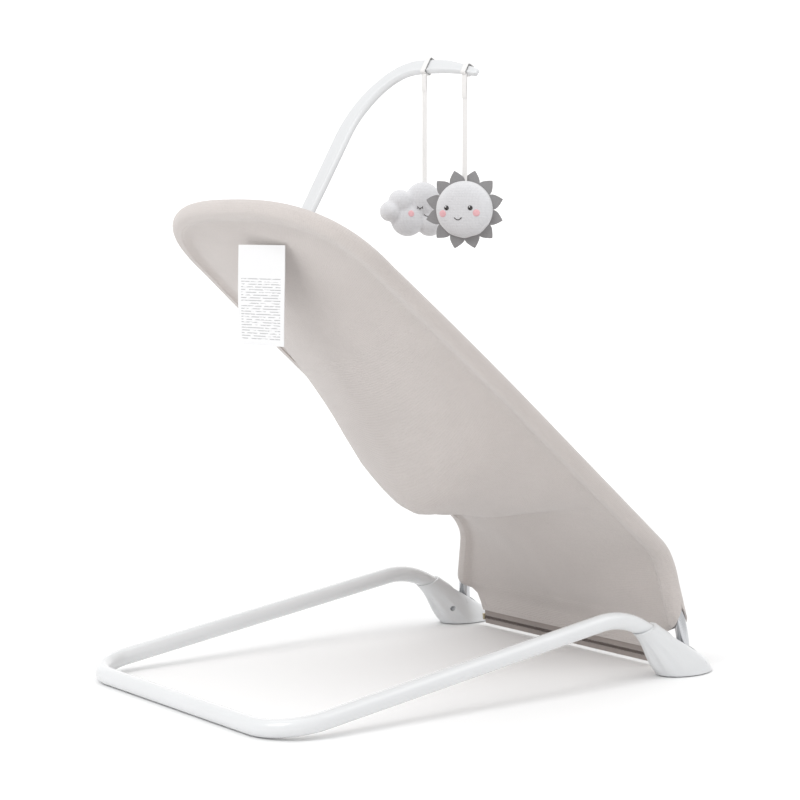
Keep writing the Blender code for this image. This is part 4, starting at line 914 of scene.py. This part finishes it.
def cloth_row(row, sign, shift):
    edge, tangent, wrap, spine, seat = row
    front = front_normal(tangent)
    out = tangent.cross(front).normalized()
    if abs(edge.x) < 1e-6:
        out.x = 0.0
    line = []
    reach = (SKIN if wrap > 0 else spread(edge)) + shift * sign
    for share, _ in reversed(SLEEVE):
        if share == 0.0:
            continue
        angle = math.radians(wrap * share / 0.85)
        aside = -0.0003 * share if wrap == 0 else 0.0
        line.append(edge + front * sign * reach * math.cos(angle) + out * (reach * math.sin(angle) + aside))
    run = (spine - edge).length
    inward = (spine - edge).normalized()
    last = EDGE_STEPS[-1]
    for distance in EDGE_STEPS:
        at = edge + inward * (distance + (0.0006 if wrap == 0 else 0.0))
        line.append(cloth_point(at, seat, front, sign, shift, distance / last * 0.999))
    for share in MIDDLE_STEPS:
        at = edge + inward * (last + (run - last) * share)
        if share == 1.0:
            at.x = 0.0
        line.append(cloth_point(at, seat, front, sign, shift, 1.0))
    return line


def cloth_layer(name, rows, sign, nodes):
    """One layer of the cover as a closed sheet, sewn on the plane x = 0, with metres as its UV."""
    grids = [[cloth_row(row, sign, shift) for row in rows] for shift in (COVER / 2, -COVER / 2)]
    travel = [0.0]
    for before, after in zip(rows, rows[1:]):
        travel.append(travel[-1] + (after[0] - before[0]).length)
    bm = bmesh.new()
    skins = [[[bm.verts.new(p) for p in line] for line in grid] for grid in grids]
    where = {}
    for skin in skins:
        for i, line in enumerate(skin):
            run = 0.0
            for j, vert in enumerate(line):
                if j:
                    run += (line[j].co - line[j - 1].co).length
                where[vert] = (run, travel[i])
    count, columns = len(rows), len(skins[0][0])
    for skin in skins:
        for i in range(count - 1):
            for j in range(columns - 1):
                bm.faces.new((skin[i][j], skin[i][j + 1], skin[i + 1][j + 1], skin[i + 1][j]))
    over, under = skins
    for i in range(count - 1):
        bm.faces.new((over[i][0], over[i + 1][0], under[i + 1][0], under[i][0]))
    for j in range(columns - 1):
        bm.faces.new((over[0][j], over[0][j + 1], under[0][j + 1], under[0][j]))
    layer = bm.loops.layers.uv.new("metres")
    for face in bm.faces:
        for loop in face.loops:
            loop[layer].uv = where[loop.vert]
    made = bmesh.ops.duplicate(bm, geom=bm.verts[:] + bm.edges[:] + bm.faces[:])["geom"]
    for item in made:
        if isinstance(item, bmesh.types.BMVert):
            item.co.x = -item.co.x
    bmesh.ops.remove_doubles(bm, verts=bm.verts, dist=1e-5)
    area = sum(f.calc_area() for f in bm.faces) / 2
    item = link(name, mesh_from(bm), KNIT, "seat_frame", nodes)
    smooth(item, 70)
    return item, grids[0]


def stitches(name, points, lifts, radius=0.00042, length=0.0032, gap=0.0016, paint=None, body="seat_frame"):
    """A row of short thread stitches along a line, each a small bar with sunk ends."""
    points = [Vector(p) for p in points]
    travel = [0.0]
    for before, after in zip(points, points[1:]):
        travel.append(travel[-1] + (after - before).length)

    def at(distance):
        k = min(len(points) - 2, max(0, int(np.searchsorted(travel, distance)) - 1))
        share = (distance - travel[k]) / max(1e-9, travel[k + 1] - travel[k])
        return points[k].lerp(points[k + 1], share), lifts[k].lerp(lifts[k + 1], share)

    bm = bmesh.new()
    start = gap
    while start + length < travel[-1]:
        (a, up), (b, _) = at(start), at(start + length)
        along = (b - a).normalized()
        side = along.cross(up).normalized()
        rings = []
        for share, size in ((0.0, 0.35), (0.22, 1.0), (0.78, 1.0), (1.0, 0.35)):
            middle = a.lerp(b, share) + up * (radius * (size - 0.6))
            rings.append([bm.verts.new(middle + (side * math.cos(t) + up * math.sin(t)) * radius * size)
                          for t in np.linspace(0, 2 * math.pi, 7)[:-1]])
        for ring, after in zip(rings, rings[1:]):
            for i in range(6):
                bm.faces.new((ring[i], ring[(i + 1) % 6], after[(i + 1) % 6], after[i]))
        bm.faces.new(rings[0][::-1])
        bm.faces.new(rings[-1])
        start += length + gap
    item = link(name, mesh_from(bm), paint or KNIT_EDGE, body, ())
    return smooth(item, 60)


ROWS = all_rows()
COVER_FRONT, FRONT_GRID = cloth_layer("cover_front", ROWS, 1, ["seat_cover_front", "lower_panel_front"])
COVER_BACK, BACK_GRID = cloth_layer("cover_back", ROWS, -1, ["seat_cover_back", "lower_panel_back"])
graph_now = bpy.context.evaluated_depsgraph_get()
FRONT_TREE = BVHTree.FromObject(COVER_FRONT, graph_now)
BACK_TREE = BVHTree.FromObject(COVER_BACK, graph_now)


def edge_stitches(name, grid, sign, column, first, last):
    for side in (1, -1):
        points, lifts = [], []
        for k in range(first, last):
            p = grid[k][column]
            up = front_normal(ROWS[k][1]) * sign
            points.append(Vector((side * p.x, p.y, p.z)))
            lifts.append(Vector((side * up.x, up.y, up.z)))
        stitches(f"{name}_{side_name(side)}", points, lifts)


STITCH_COLUMN = len(SLEEVE) - 1 + EDGE_STEPS.index(0.0109)
FIRST_FULL = next(k for k, row in enumerate(ROWS) if row[2] > 80)
edge_stitches("seam_back", BACK_GRID, -1, STITCH_COLUMN, FIRST_FULL, len(ROWS))
edge_stitches("seam_front", FRONT_GRID, 1, STITCH_COLUMN, FIRST_FULL, len(ROWS))


def on_cover(tree, x, along, sign, lift):
    """A point just off the front or back of the seat."""
    at, normal = middle_point(x, along), seat_normal(x, along) * sign
    hit = tree.ray_cast(at + normal * 0.05, -normal)[0]
    return hit + normal * lift, normal


# ---------------------------------------------------------------- zip, hem and label
def hem_y(z):
    return HINGE.y + (z - HINGE.z) * SEAT_LEAN


def hem_piece(name, node, z1, z2, y1, y2, paint, step=0.006, ripple=0.0003):
    """A long strip in the hem's plane, slightly rippled."""
    low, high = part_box(node)
    bm = bmesh.new()
    xs = np.linspace(low.x, high.x, int((high.x - low.x) / step) + 1)
    rings = []
    centre = (z1 + z2) / 2
    for x in xs:
        wave = noise.noise(Vector((x * 22, z1 * 40, 0))) * ripple
        outline = ((z1, y1), (centre, y1 - 0.0001), (z2, y1), (z2, y2), (centre, y2 + 0.0001), (z1, y2))
        rings.append([bm.verts.new((x, hem_y(z) + y + wave, z)) for z, y in outline])
    for ring, after in zip(rings, rings[1:]):
        for i in range(6):
            bm.faces.new((ring[i], ring[(i + 1) % 6], after[(i + 1) % 6], after[i]))
    bm.faces.new(rings[0][::-1])
    bm.faces.new(rings[-1])
    return smooth(link(name, mesh_from(bm), paint, "seat_frame", [node]), 40)


def make_zip():
    for node, name in (("zip_tape_lower", "tape_lower"), ("zip_tape_upper", "tape_upper")):
        low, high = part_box(node)
        hem_piece(name, node, low.z, high.z, 0.0, 0.0009, TAPE)
    low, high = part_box("zip_teeth")
    middle = (low.z + high.z) / 2
    bm = bmesh.new()
    pitch = 0.0030
    for k in range(int((high.x - low.x) / pitch)):
        for row, shift in ((1, 0.0), (-1, pitch / 2)):
            x = low.x + pitch * (k + 0.25) + shift
            z = middle + row * 0.00075
            made = bmesh.ops.create_cube(bm, size=1.0)["verts"]
            for vert in made:
                vert.co = Vector((x + vert.co.x * 0.0013, hem_y(z) + 0.0006 + vert.co.y * 0.0024,
                                  z + vert.co.z * 0.0027))
    mesh = mesh_from(bm)
    edge_round(mesh, 0.0002, 1)
    item = link("zip_chain", mesh, TEETH, "seat_frame", ["zip_teeth"])
    smooth(item, 40)
    band = hem_piece("zip_band", "zip_teeth", low.z, high.z, 0.0002, 0.0006, TAPE)
    band["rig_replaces"] = []        # zip_chain stands for the teeth, so the band stands for no node


make_zip()

HEM_TOP = PANEL_EDGE[0][0]
for z, label in ((HEM_TOP + 0.0035, "lower"), (HEM_TOP + 0.0075, "upper")):
    half = float(np.interp(z, PANEL_Z[:-1], PANEL_X)) - 0.004
    xs = np.linspace(-half, half, 60)
    for sign, face in ((1, "front"), (-1, "back")):
        tree = FRONT_TREE if sign > 0 else BACK_TREE
        away = Vector((0, -1, SEAT_LEAN)).normalized() * sign
        points = [tree.ray_cast(Vector((x, hem_y(z), z)) + away * 0.03, -away)[0] for x in xs]
        stitches(f"hem_{label}_{face}", points, [away] * len(points))


def make_label():
    low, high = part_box("blank_label")
    width, height = 0.080, high.z - low.z
    middle = (low + high) / 2
    turn = math.radians(10.0)
    along, face = Vector((math.cos(turn), math.sin(turn), 0)), Vector((-math.sin(turn), math.cos(turn), 0))
    bm = bmesh.new()
    layer = bm.loops.layers.uv.new("metres")
    columns, rows = 13, 19
    skins = []
    for lift in (0.0004, -0.0004):
        grid = []
        for i in range(rows):
            line = []
            for j in range(columns):
                u, v = j / (columns - 1), i / (rows - 1)
                curl = 0.0022 * math.sin(math.pi * u) * (1 - 0.4 * v) - 0.0012 * math.cos(3.3 * v + 1.4 * u)
                at = Vector((middle.x, middle.y, high.z - height * v)) + along * width * (u - 0.5)
                line.append(bm.verts.new(at + face * (curl + lift)))
            grid.append(line)
        skins.append(grid)
    where = {}
    for grid in skins:
        for i in range(rows):
            for j in range(columns):
                where[grid[i][j]] = (width * (1 - j / (columns - 1)), height * (1 - i / (rows - 1)))
        for i in range(rows - 1):
            for j in range(columns - 1):
                bm.faces.new((grid[i][j], grid[i][j + 1], grid[i + 1][j + 1], grid[i + 1][j]))
    rim = [(i, 0) for i in range(rows)] + [(rows - 1, j) for j in range(1, columns)]
    rim += [(i, columns - 1) for i in reversed(range(rows - 1))]
    rim += [(0, j) for j in reversed(range(1, columns - 1))]
    for (a, b), (c, d) in zip(rim, rim[1:] + rim[:1]):
        bm.faces.new((skins[0][a][b], skins[0][c][d], skins[1][c][d], skins[1][a][b]))
    for made in bm.faces:
        for loop in made.loops:
            loop[layer].uv = where[loop.vert]
    item = link("care_label", mesh_from(bm), LABEL_LOOK, "seat_frame", ["blank_label"])
    smooth(item, 60)


make_label()


# ---------------------------------------------------------------- harness
BUCKLE_ALONG = 0.290


def cad_strap(name, node, x_from, x_to, a_from, a_to, width, thick=0.0014, lift=0.0008, steps=28):
    """A webbing strap that lies on the seat, with its two long edges turned down a little."""
    sections = []
    spots = [(x_from + (x_to - x_from) * t, a_from + (a_to - a_from) * t) for t in np.linspace(0, 1, steps)]
    centres = [on_cover(FRONT_TREE, x, a, 1, lift) for x, a in spots]
    for k, (at, normal) in enumerate(centres):
        ahead = centres[min(k + 1, steps - 1)][0]
        behind = centres[max(k - 1, 0)][0]
        side = (ahead - behind).normalized().cross(normal).normalized()
        ring = []
        for share in (-0.5, -0.46, -0.3, 0.0, 0.3, 0.46, 0.5):
            p = at + side * width * share
            hit = FRONT_TREE.ray_cast(p + normal * 0.03, -normal)[0]
            edge = 0.25 if abs(share) > 0.48 else 1.0
            ring.append(hit + normal * (lift + thick * (0.5 + 0.5 * edge)))
        under = [p - normal * thick * (0.4 if abs(i - 3) == 3 else 1.0) for i, p in enumerate(ring)]
        sections.append(ring + under[::-1])
    return smooth(link(name, loft(sections), WEB, "seat_frame", [node]), 45)


def make_harness():
    along = BUCKLE_ALONG
    cad_strap("crotch_webbing", "crotch_strap", 0.0, 0.0, 0.136, 0.268, 0.032)
    for side in (1, -1):
        name = side_name(side)
        cad_strap(f"waist_webbing_{name}", f"waist_strap_{name}", side * 0.030, side * 0.158,
                  along, along, 0.025)


make_harness()


# ---------------------------------------------------------------- toy bar
def make_bar():
    rings = []
    last = len(BAR_LINE) - 1
    fine = 5
    for k, (x, h) in enumerate(BAR_LINE):
        ahead, behind = BAR_LINE[min(k + 1, last)], BAR_LINE[max(k - 1, 0)]
        along = Vector((ahead[0] - behind[0], 0, ahead[1] - behind[1])).normalized()
        side = Vector((along.z, 0, 0)) + BAR_UP * -along.x
        outline = bar_section(bar_edges_at(x, h), BAR_DEEP)
        soft = []
        for i, (a, b) in enumerate(outline):
            before, after = outline[i - 1], outline[(i + 1) % len(outline)]
            for t in np.linspace(-0.5, 0.5, fine + 1)[:-1]:
                other = before if t < 0 else after
                s = abs(t)
                pull = 0.22 * (0.5 - s)
                pa = a + (other[0] - a) * s - (a - (before[0] + after[0]) / 2) * pull
                pb = b + (other[1] - b) * s - (b - (before[1] + after[1]) / 2) * pull
                soft.append((pa, pb))
        rings.append([bar_point(x, h) + side * a + BAR_FACE * b for a, b in soft])
    x, h = BAR_LINE[-1]
    for step, share in ((0.0018, 0.93), (0.0034, 0.80), (0.0047, 0.62), (0.0055, 0.38)):
        tip = bar_point(x - step, h - step * 0.21)
        rings.append([tip + (p - bar_point(x, h)) * share for p in rings[last]])
    item = link("bar_arm", loft(rings), ARM, "toy_arm", ["toy_bar"])
    smooth(item, 30)
    low, high = bar_point(BAR_X, SOCKET_FLOOR + 0.0006), bar_point(BAR_X, SOCKET_TOP + 0.006)
    peg = rod_mesh(low, high, 0.0042, sides=32)
    spigot = link("bar_arm_spigot", peg, ARM, "toy_arm", [])
    edge_round(spigot.data, 0.0004)
    smooth(spigot)


make_bar()


def ribbon_mesh(path, sideways, width, thick, closed):
    sections = []
    count = len(path)
    for k in range(count):
        ahead = path[(k + 1) % count] if closed else path[min(k + 1, count - 1)]
        behind = path[k - 1] if closed else path[max(k - 1, 0)]
        normal = (ahead - behind).normalized().cross(sideways).normalized()
        ring = []
        for share, deep in ((0.5, 0.35), (0.44, 0.5), (0.0, 0.5), (-0.44, 0.5), (-0.5, 0.35)):
            ring.append(path[k] + sideways * width * share + normal * thick * deep)
        for share, deep in ((-0.5, 0.35), (-0.44, 0.5), (0.0, 0.5), (0.44, 0.5), (0.5, 0.35)):
            ring.append(path[k] + sideways * width * share - normal * thick * deep)
        sections.append(ring)
    return loft(sections, closed=closed)


def make_ribbon(toy):
    height, wide = bar_spot(STRAP_X[toy])
    at = bar_point(STRAP_X[toy], height)
    half_wide, half_deep = wide / 2 + 0.0012, BAR_DEEP / 2 + 0.0012
    radius = 0.0024
    ring = []
    for sx, sy, start in ((1, 1, 0.0), (-1, 1, 0.5), (-1, -1, 1.0), (1, -1, 1.5)):
        for k in range(6):
            a = math.pi * (start + 0.1 * k)
            ring.append(at + BAR_FACE * (sx * (half_deep - radius) + radius * math.cos(a))
                        + BAR_UP * (sy * (half_wide - radius) + radius * math.sin(a)))
    sideways = Vector((1, 0, 0))
    item = link(f"{toy}_loop", ribbon_mesh(ring, sideways, RIBBON_WIDE, RIBBON_THICK, True), SATIN, "toy_arm",
                [f"{toy}_ribbon_loop"])
    smooth(item, 40)
    low = hang_point(toy)
    end = TOY_TOP[toy] - (0.016 if toy == "sun" else 0.003)
    path = [Vector((low.x, low.y, z)) for z in np.linspace(low.z + 0.0016, end, 40)]
    thin = RIBBON_THICK * 0.8
    hang = link(f"{toy}_hanger", ribbon_mesh(path, sideways, RIBBON_WIDE, thin, False), SATIN, toy,
                [f"{toy}_ribbon"])
    smooth(hang, 40)
    bend = [Vector((low.x, low.y + 0.0009 + 0.0004 * math.sin(t * 3), low.z + 0.001 - TAIL[toy] * t))
            for t in np.linspace(0, 1, 12)]
    tail = link(f"{toy}_tail", ribbon_mesh(bend, sideways, RIBBON_WIDE * 0.98, thin, False), SATIN, toy, [])
    smooth(tail, 40)
    tack_z = low.z - TAIL[toy] + 0.006
    line = [Vector((low.x + RIBBON_WIDE * s, low.y + 0.0016, tack_z)) for s in (-0.42, 0.0, 0.42)]
    stitches(f"{toy}_tack", line, [Vector((0, 1, 0))] * 3, 0.00025, 0.0016, 0.0008, SATIN, toy)


for toy_name in ("cloud", "sun"):
    make_ribbon(toy_name)


# ---------------------------------------------------------------- toys
def plump(item, pressure, frames, cap):
    """Blows the stuffed shape up a little with cloth, and keeps each point near where it was."""
    mesh = item.data
    before = np.empty(len(mesh.vertices) * 3)
    mesh.vertices.foreach_get("co", before)
    cloth = item.modifiers.new("cloth", "CLOTH")
    cloth.settings.use_pressure = True
    cloth.settings.uniform_pressure_force = pressure
    cloth.settings.effector_weights.gravity = 0.0
    cloth.settings.quality = 4
    cloth.settings.tension_stiffness = 12.0
    cloth.settings.mass = 0.2
    cloth.point_cache.frame_start = 1
    cloth.point_cache.frame_end = frames
    scene = bpy.context.scene
    for k in range(1, frames + 1):
        scene.frame_set(k)
    swollen = bpy.data.meshes.new_from_object(item.evaluated_get(bpy.context.evaluated_depsgraph_get()))
    after = np.empty(len(swollen.vertices) * 3)
    swollen.vertices.foreach_get("co", after)
    item.modifiers.clear()
    scene.frame_set(1)
    moved = (after - before).reshape(-1, 3)
    size = np.linalg.norm(moved, axis=1, keepdims=True)
    moved *= np.minimum(1.0, cap / np.maximum(size, 1e-9))
    mesh.vertices.foreach_set("co", (before.reshape(-1, 3) + moved).ravel())
    mesh.update()
    bpy.data.meshes.remove(swollen)


def remeshed(item, voxel, rounds):
    step = item.modifiers.new("remesh", "REMESH")
    step.mode = "VOXEL"
    step.voxel_size = voxel
    soft = item.modifiers.new("soft", "SMOOTH")
    soft.factor = 0.5
    soft.iterations = rounds
    return apply_modifiers(item)


def surface(tree, middle, right, face, across, high):
    start = middle + right * across + Vector((0, 0, high)) + face * 0.05
    hit, normal, _, _ = tree.ray_cast(start, -face)
    if hit is None:
        return middle + right * across + Vector((0, 0, high)) + face * 0.01, face
    return hit, normal


def dot_mesh(at, normal, radius, height, rings=5, sides=24):
    """A low dome that sits on a surface."""
    side = normal.orthogonal().normalized()
    other = normal.cross(side)
    sections = []
    for k in range(rings + 1):
        a = math.pi / 2 * k / rings
        r, h = radius * math.cos(a), height * math.sin(a)
        if k == rings:
            r = radius * 0.05
        sections.append([at + normal * (h - height * 0.25) + (side * math.cos(t) + other * math.sin(t)) * r
                         for t in np.linspace(0, 2 * math.pi, sides + 1)[:-1]])
    return loft(sections)


def patch_mesh(tree, middle, right, face, across, high, radius, thick, sides=28):
    """A thin round patch that follows the plush."""
    sections = []
    for lift in (-0.0006, thick):
        for share in ((1.0,) if lift < 0 else (1.0, 0.8, 0.4, 0.05)):
            ring = []
            for t in np.linspace(0, 2 * math.pi, sides + 1)[:-1]:
                at = surface(tree, middle, right, face, across + radius * share * math.cos(t),
                             high + radius * share * math.sin(t))[0]
                ring.append(at + face * lift * (1.0 if share < 0.95 or lift < 0 else 0.3))
            sections.append(ring)
    return loft(sections)


def arc_thread(name, toy, tree, middle, right, face, spot, half, droop, radius, paint=THREAD):
    """An embroidered arc: droop below the spot makes a smile or a closed eye."""
    points = []
    for t in np.linspace(-1, 1, 15):
        at, normal = surface(tree, middle, right, face, spot[0] + half * t, spot[1] + droop * (t * t - 1))
        points.append(at + normal * radius * 0.5)
    return smooth(link(name, tube_mesh(points, radius, None, 10), paint, toy, []), 50)


def make_sun():
    toy = "sun"
    right, face = toy_axes(toy)
    middle = Vector((STRAP_X[toy], hang_point(toy).y, SUN_Z))
    rings = []
    steps, sides = 22, 72
    for k in range(1, steps):
        polar = math.pi * k / steps
        flat = math.cos(polar)
        reach = math.sin(polar) ** 0.62
        ring = []
        for i in range(sides):
            a = 2 * math.pi * i / sides
            low = max(0.0, -math.cos(a)) ** 3
            pucker = 1 - 0.030 * low * (0.5 + 0.5 * math.cos(11 * a)) * reach
            side = 1 - 0.008 * noise.noise(Vector((math.cos(a) * 2, math.sin(a) * 2, 1.0)))
            r = SUN_R * reach * pucker * side
            depth = (SUN_THICK - 0.001) * math.copysign(abs(flat) ** 0.8, flat)
            ring.append(middle + right * math.sin(a) * r + Vector((0, 0, math.cos(a) * r)) + face * depth)
        rings.append(ring)
    item = link("sun_plush", loft(rings), PLUSH_LOOK, None)
    remeshed(item, 0.0016, 3)
    plump(item, 1.5, 8, 0.0012)
    item.data.materials.clear()
    item.data.materials.append(PLUSH_LOOK)
    smooth(item, 80)
    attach(item, toy)
    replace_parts(item, "sun_toy")
    tree = BVHTree.FromObject(item, bpy.context.evaluated_depsgraph_get())
    bm = bmesh.new()
    count = 12
    for k in range(count):
        a = 2 * math.pi * (k + 0.5) / count
        tilt = 0.10 * noise.noise(Vector((k * 1.7, 0.3, 0.1)))
        reach = 0.0525 + 0.0007 * noise.noise(Vector((k * 2.1, 4.0, 0.0)))
        arm = right * math.sin(a + tilt * 0.4) + Vector((0, 0, math.cos(a + tilt * 0.4)))
        over = right * math.cos(a + tilt) - Vector((0, 0, math.sin(a + tilt)))
        outline = []
        for t in np.linspace(0, 1, 9):
            half = 0.0098 * (1 - t) ** 0.72 * (1 + 0.35 * math.sin(math.pi * t))
            outline.append((0.0350 + (reach - 0.0350) * t, half))
        grid = []
        for lift in (0.0010, -0.0010):
            rim = [face * lift * (0.35 + 0.65 * (w > 0.002)) for r, w in outline]
            left = [middle + arm * r - over * w + up for (r, w), up in zip(outline, rim)]
            spine = [middle + arm * r + face * (lift * 1.25 + 0.0006 * tilt) for r, w in outline]
            rest = [middle + arm * r + over * w + up for (r, w), up in zip(outline, rim)]
            grid.append([[bm.verts.new(p) for p in line] for line in (left, spine, rest)])
        top, bottom = grid
        for lines in grid:
            for one, two in zip(lines, lines[1:]):
                for i in range(len(outline) - 1):
                    bm.faces.new((one[i], one[i + 1], two[i + 1], two[i]))
        for edge in (0, 2):
            for i in range(len(outline) - 1):
                bm.faces.new((top[edge][i], top[edge][i + 1], bottom[edge][i + 1], bottom[edge][i]))
        for end in (0, -1):
            for one in (0, 1):
                bm.faces.new((top[one][end], top[one + 1][end], bottom[one + 1][end], bottom[one][end]))
    rays = link("sun_felt_rays", mesh_from(bm), FELT_LOOK, toy, ["sun_rays"])
    smooth(rays, 50)
    for index, across in enumerate((-0.0215, 0.0100)):
        at, normal = surface(tree, middle, right, face, across, 0.002)
        smooth(link(f"sun_eye_{index}", dot_mesh(at, normal, 0.0034, 0.0022), BLACK, toy, []))
        glint = at + normal * 0.0014 + Vector((0, 0, 0.0012)) - right * 0.0008
        shine = dot_mesh(glint, normal, 0.0008, 0.0005, 4, 14)
        smooth(link(f"sun_glint_{index}", shine, HILIGHT, toy, []))
    for index, (across, high) in enumerate(((-0.0268, -0.0055), (0.0180, -0.0045))):
        blush = patch_mesh(tree, middle, right, face, across, high, 0.0046, 0.0007)
        smooth(link(f"sun_cheek_{index}", blush, CHEEK, toy, []), 60)
    arc_thread("sun_smile", toy, tree, middle, right, face, (-0.0062, -0.0105), 0.0048, 0.0030, 0.00055)


def make_cloud():
    toy = "cloud"
    right, face = toy_axes(toy)
    middle = Vector((STRAP_X[toy], hang_point(toy).y, TOY_Z)) + right * CLOUD_SHIFT
    bm = bmesh.new()
    for across, high, radius in CLOUD_LOBES:
        at = middle + right * across + Vector((0, 0, high))
        wide = radius * 0.985
        turn = Matrix((right * wide, face * CLOUD_THICK, Vector((0, 0, wide)))).transposed().to_4x4()
        made = bmesh.ops.create_uvsphere(bm, u_segments=40, v_segments=24, radius=1.0)["verts"]
        bmesh.ops.transform(bm, verts=made, matrix=Matrix.Translation(at) @ turn)
    item = link("cloud_plush", mesh_from(bm), PLUSH_LOOK, None)
    remeshed(item, 0.0016, 5)
    plump(item, 1.5, 8, 0.0012)
    item.data.materials.clear()
    item.data.materials.append(PLUSH_LOOK)
    smooth(item, 80)
    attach(item, toy)
    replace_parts(item, "cloud_toy")
    tree = BVHTree.FromObject(item, bpy.context.evaluated_depsgraph_get())
    for index, across in enumerate((0.0070, 0.0315)):
        arc_thread(f"cloud_eye_{index}", toy, tree, middle, right, face, (across, 0.0035), 0.0036, 0.0026,
                   0.00050)
        for lash in (-1, 0, 1):
            x0 = across + lash * 0.0028
            z0 = 0.0035 + 0.0026 * ((lash * 0.78) ** 2 - 1)
            ends = [surface(tree, middle, right, face, x0 + lash * 0.0010 * t, z0 - 0.0022 * t)
                    for t in (0.0, 0.5, 1.0)]
            hair = tube_mesh([a + n * 0.0003 for a, n in ends], 0.00038, None, 8)
            smooth(link(f"cloud_lash_{index}_{lash + 1}", hair, THREAD, toy, []), 50)
    arc_thread("cloud_smile", toy, tree, middle, right, face, (0.0180, -0.0070), 0.0044, 0.0028, 0.00050)
    for index, (across, high) in enumerate(((-0.0060, -0.0060), (0.0405, -0.0050))):
        blush = patch_mesh(tree, middle, right, face, across, high, 0.0042, 0.0007)
        smooth(link(f"cloud_cheek_{index}", blush, CHEEK, toy, []), 60)


make_sun()
make_cloud()


# ---------------------------------------------------------------- stage, light, camera
def make_stage():
    bm = bmesh.new()
    reach, wall, curve = 9.0, 7.0, 2.5
    profile = [(-6.0, 0.0), (0.0, 0.0)]
    for a in np.linspace(0, math.pi / 2, 16):
        profile.append((reach - curve + curve * math.sin(a), curve * (1 - math.cos(a))))
    profile.append((reach, wall))
    forward = Vector((0.794, -0.607, 0))
    over = Vector((0.607, 0.794, 0))
    rows = [[bm.verts.new(forward * d + over * s + Vector((0, 0, z - 0.0003))) for d, z in profile]
            for s in (-9, 0, 9)]
    for one, two in zip(rows, rows[1:]):
        for i in range(len(profile) - 1):
            bm.faces.new((one[i], one[i + 1], two[i + 1], two[i]))
    mesh = mesh_from(bm)
    made, nodes, links, node = shader("floor_white", (0.93, 0.93, 0.93), 0.75)
    node.inputs["Emission Strength"].default_value = 0.34
    reach = nodes.new("ShaderNodeVectorMath")
    reach.operation = "LENGTH"
    links.new(nodes.new("ShaderNodeTexCoord").outputs["Object"], reach.inputs[0])
    fade = nodes.new("ShaderNodeMapRange")
    fade.interpolation_type = "SMOOTHSTEP"
    fade.inputs["From Min"].default_value = 0.7
    fade.inputs["From Max"].default_value = 3.2
    links.new(reach.outputs["Value"], fade.inputs["Value"])
    links.new(colour_mix(nodes, links, fade.outputs["Result"], (0.0, 0.0, 0.0), (1.0, 1.0, 1.0)),
              node.inputs["Emission Color"])
    tone = noise_node(nodes, links, 3.0, 2.0)
    pale = colour_mix(nodes, links, tone, (0.925, 0.925, 0.925), (0.935, 0.935, 0.935))
    links.new(pale, node.inputs["Base Color"])
    floor = bpy.data.objects.new("floor", mesh)
    bpy.context.scene.collection.objects.link(floor)
    mesh.materials.append(made)
    for face in mesh.polygons:
        face.use_smooth = True


def area_light(name, at, target, size, power, colour=(1, 1, 1)):
    data = bpy.data.lights.new(name, "AREA")
    data.shape = "SQUARE"
    data.size = size
    data.energy = power
    data.color = colour
    item = bpy.data.objects.new(name, data)
    item.location = at
    item.rotation_euler = (Vector(target) - Vector(at)).to_track_quat("-Z", "Y").to_euler()
    bpy.context.scene.collection.objects.link(item)


def make_lights():
    world = bpy.data.worlds.new("studio")
    bpy.context.scene.world = world
    world.use_nodes = True
    back = world.node_tree.nodes["Background"]
    back.inputs["Color"].default_value = (1.0, 1.0, 1.0, 1.0)
    back.inputs["Strength"].default_value = 0.83
    area_light("key", (-0.4, 2.3, 2.5), (0, 0, 0.3), 1.4, 33.0)
    area_light("front", (-1.6, -1.6, 2.4), (0, 0, 0.3), 1.8, 12.0)
    area_light("top", (0.6, 0.0, 3.0), (0, 0, 0.2), 2.0, 12.0)


def make_camera():
    azimuth, elevation = 4.05905711, 0.0848622864
    back = Vector((math.sin(azimuth) * math.cos(elevation), -math.cos(azimuth) * math.cos(elevation),
                   math.sin(elevation)))
    data = bpy.data.cameras.new("camera")
    data.sensor_width = 36.0
    data.lens = 94.05
    data.clip_start = 0.05
    data.clip_end = 60.0
    item = bpy.data.objects.new("camera", data)
    item.location = (-2.14688, 1.30214 + 0.335, 0.58838)
    item.rotation_mode = "QUATERNION"
    item.rotation_quaternion = (-back).to_track_quat("-Z", "Y")
    bpy.context.scene.collection.objects.link(item)
    bpy.context.scene.camera = item


make_stage()
make_lights()
make_camera()
bpy.context.scene.view_settings.view_transform = "Standard"
bpy.context.view_layer.update()
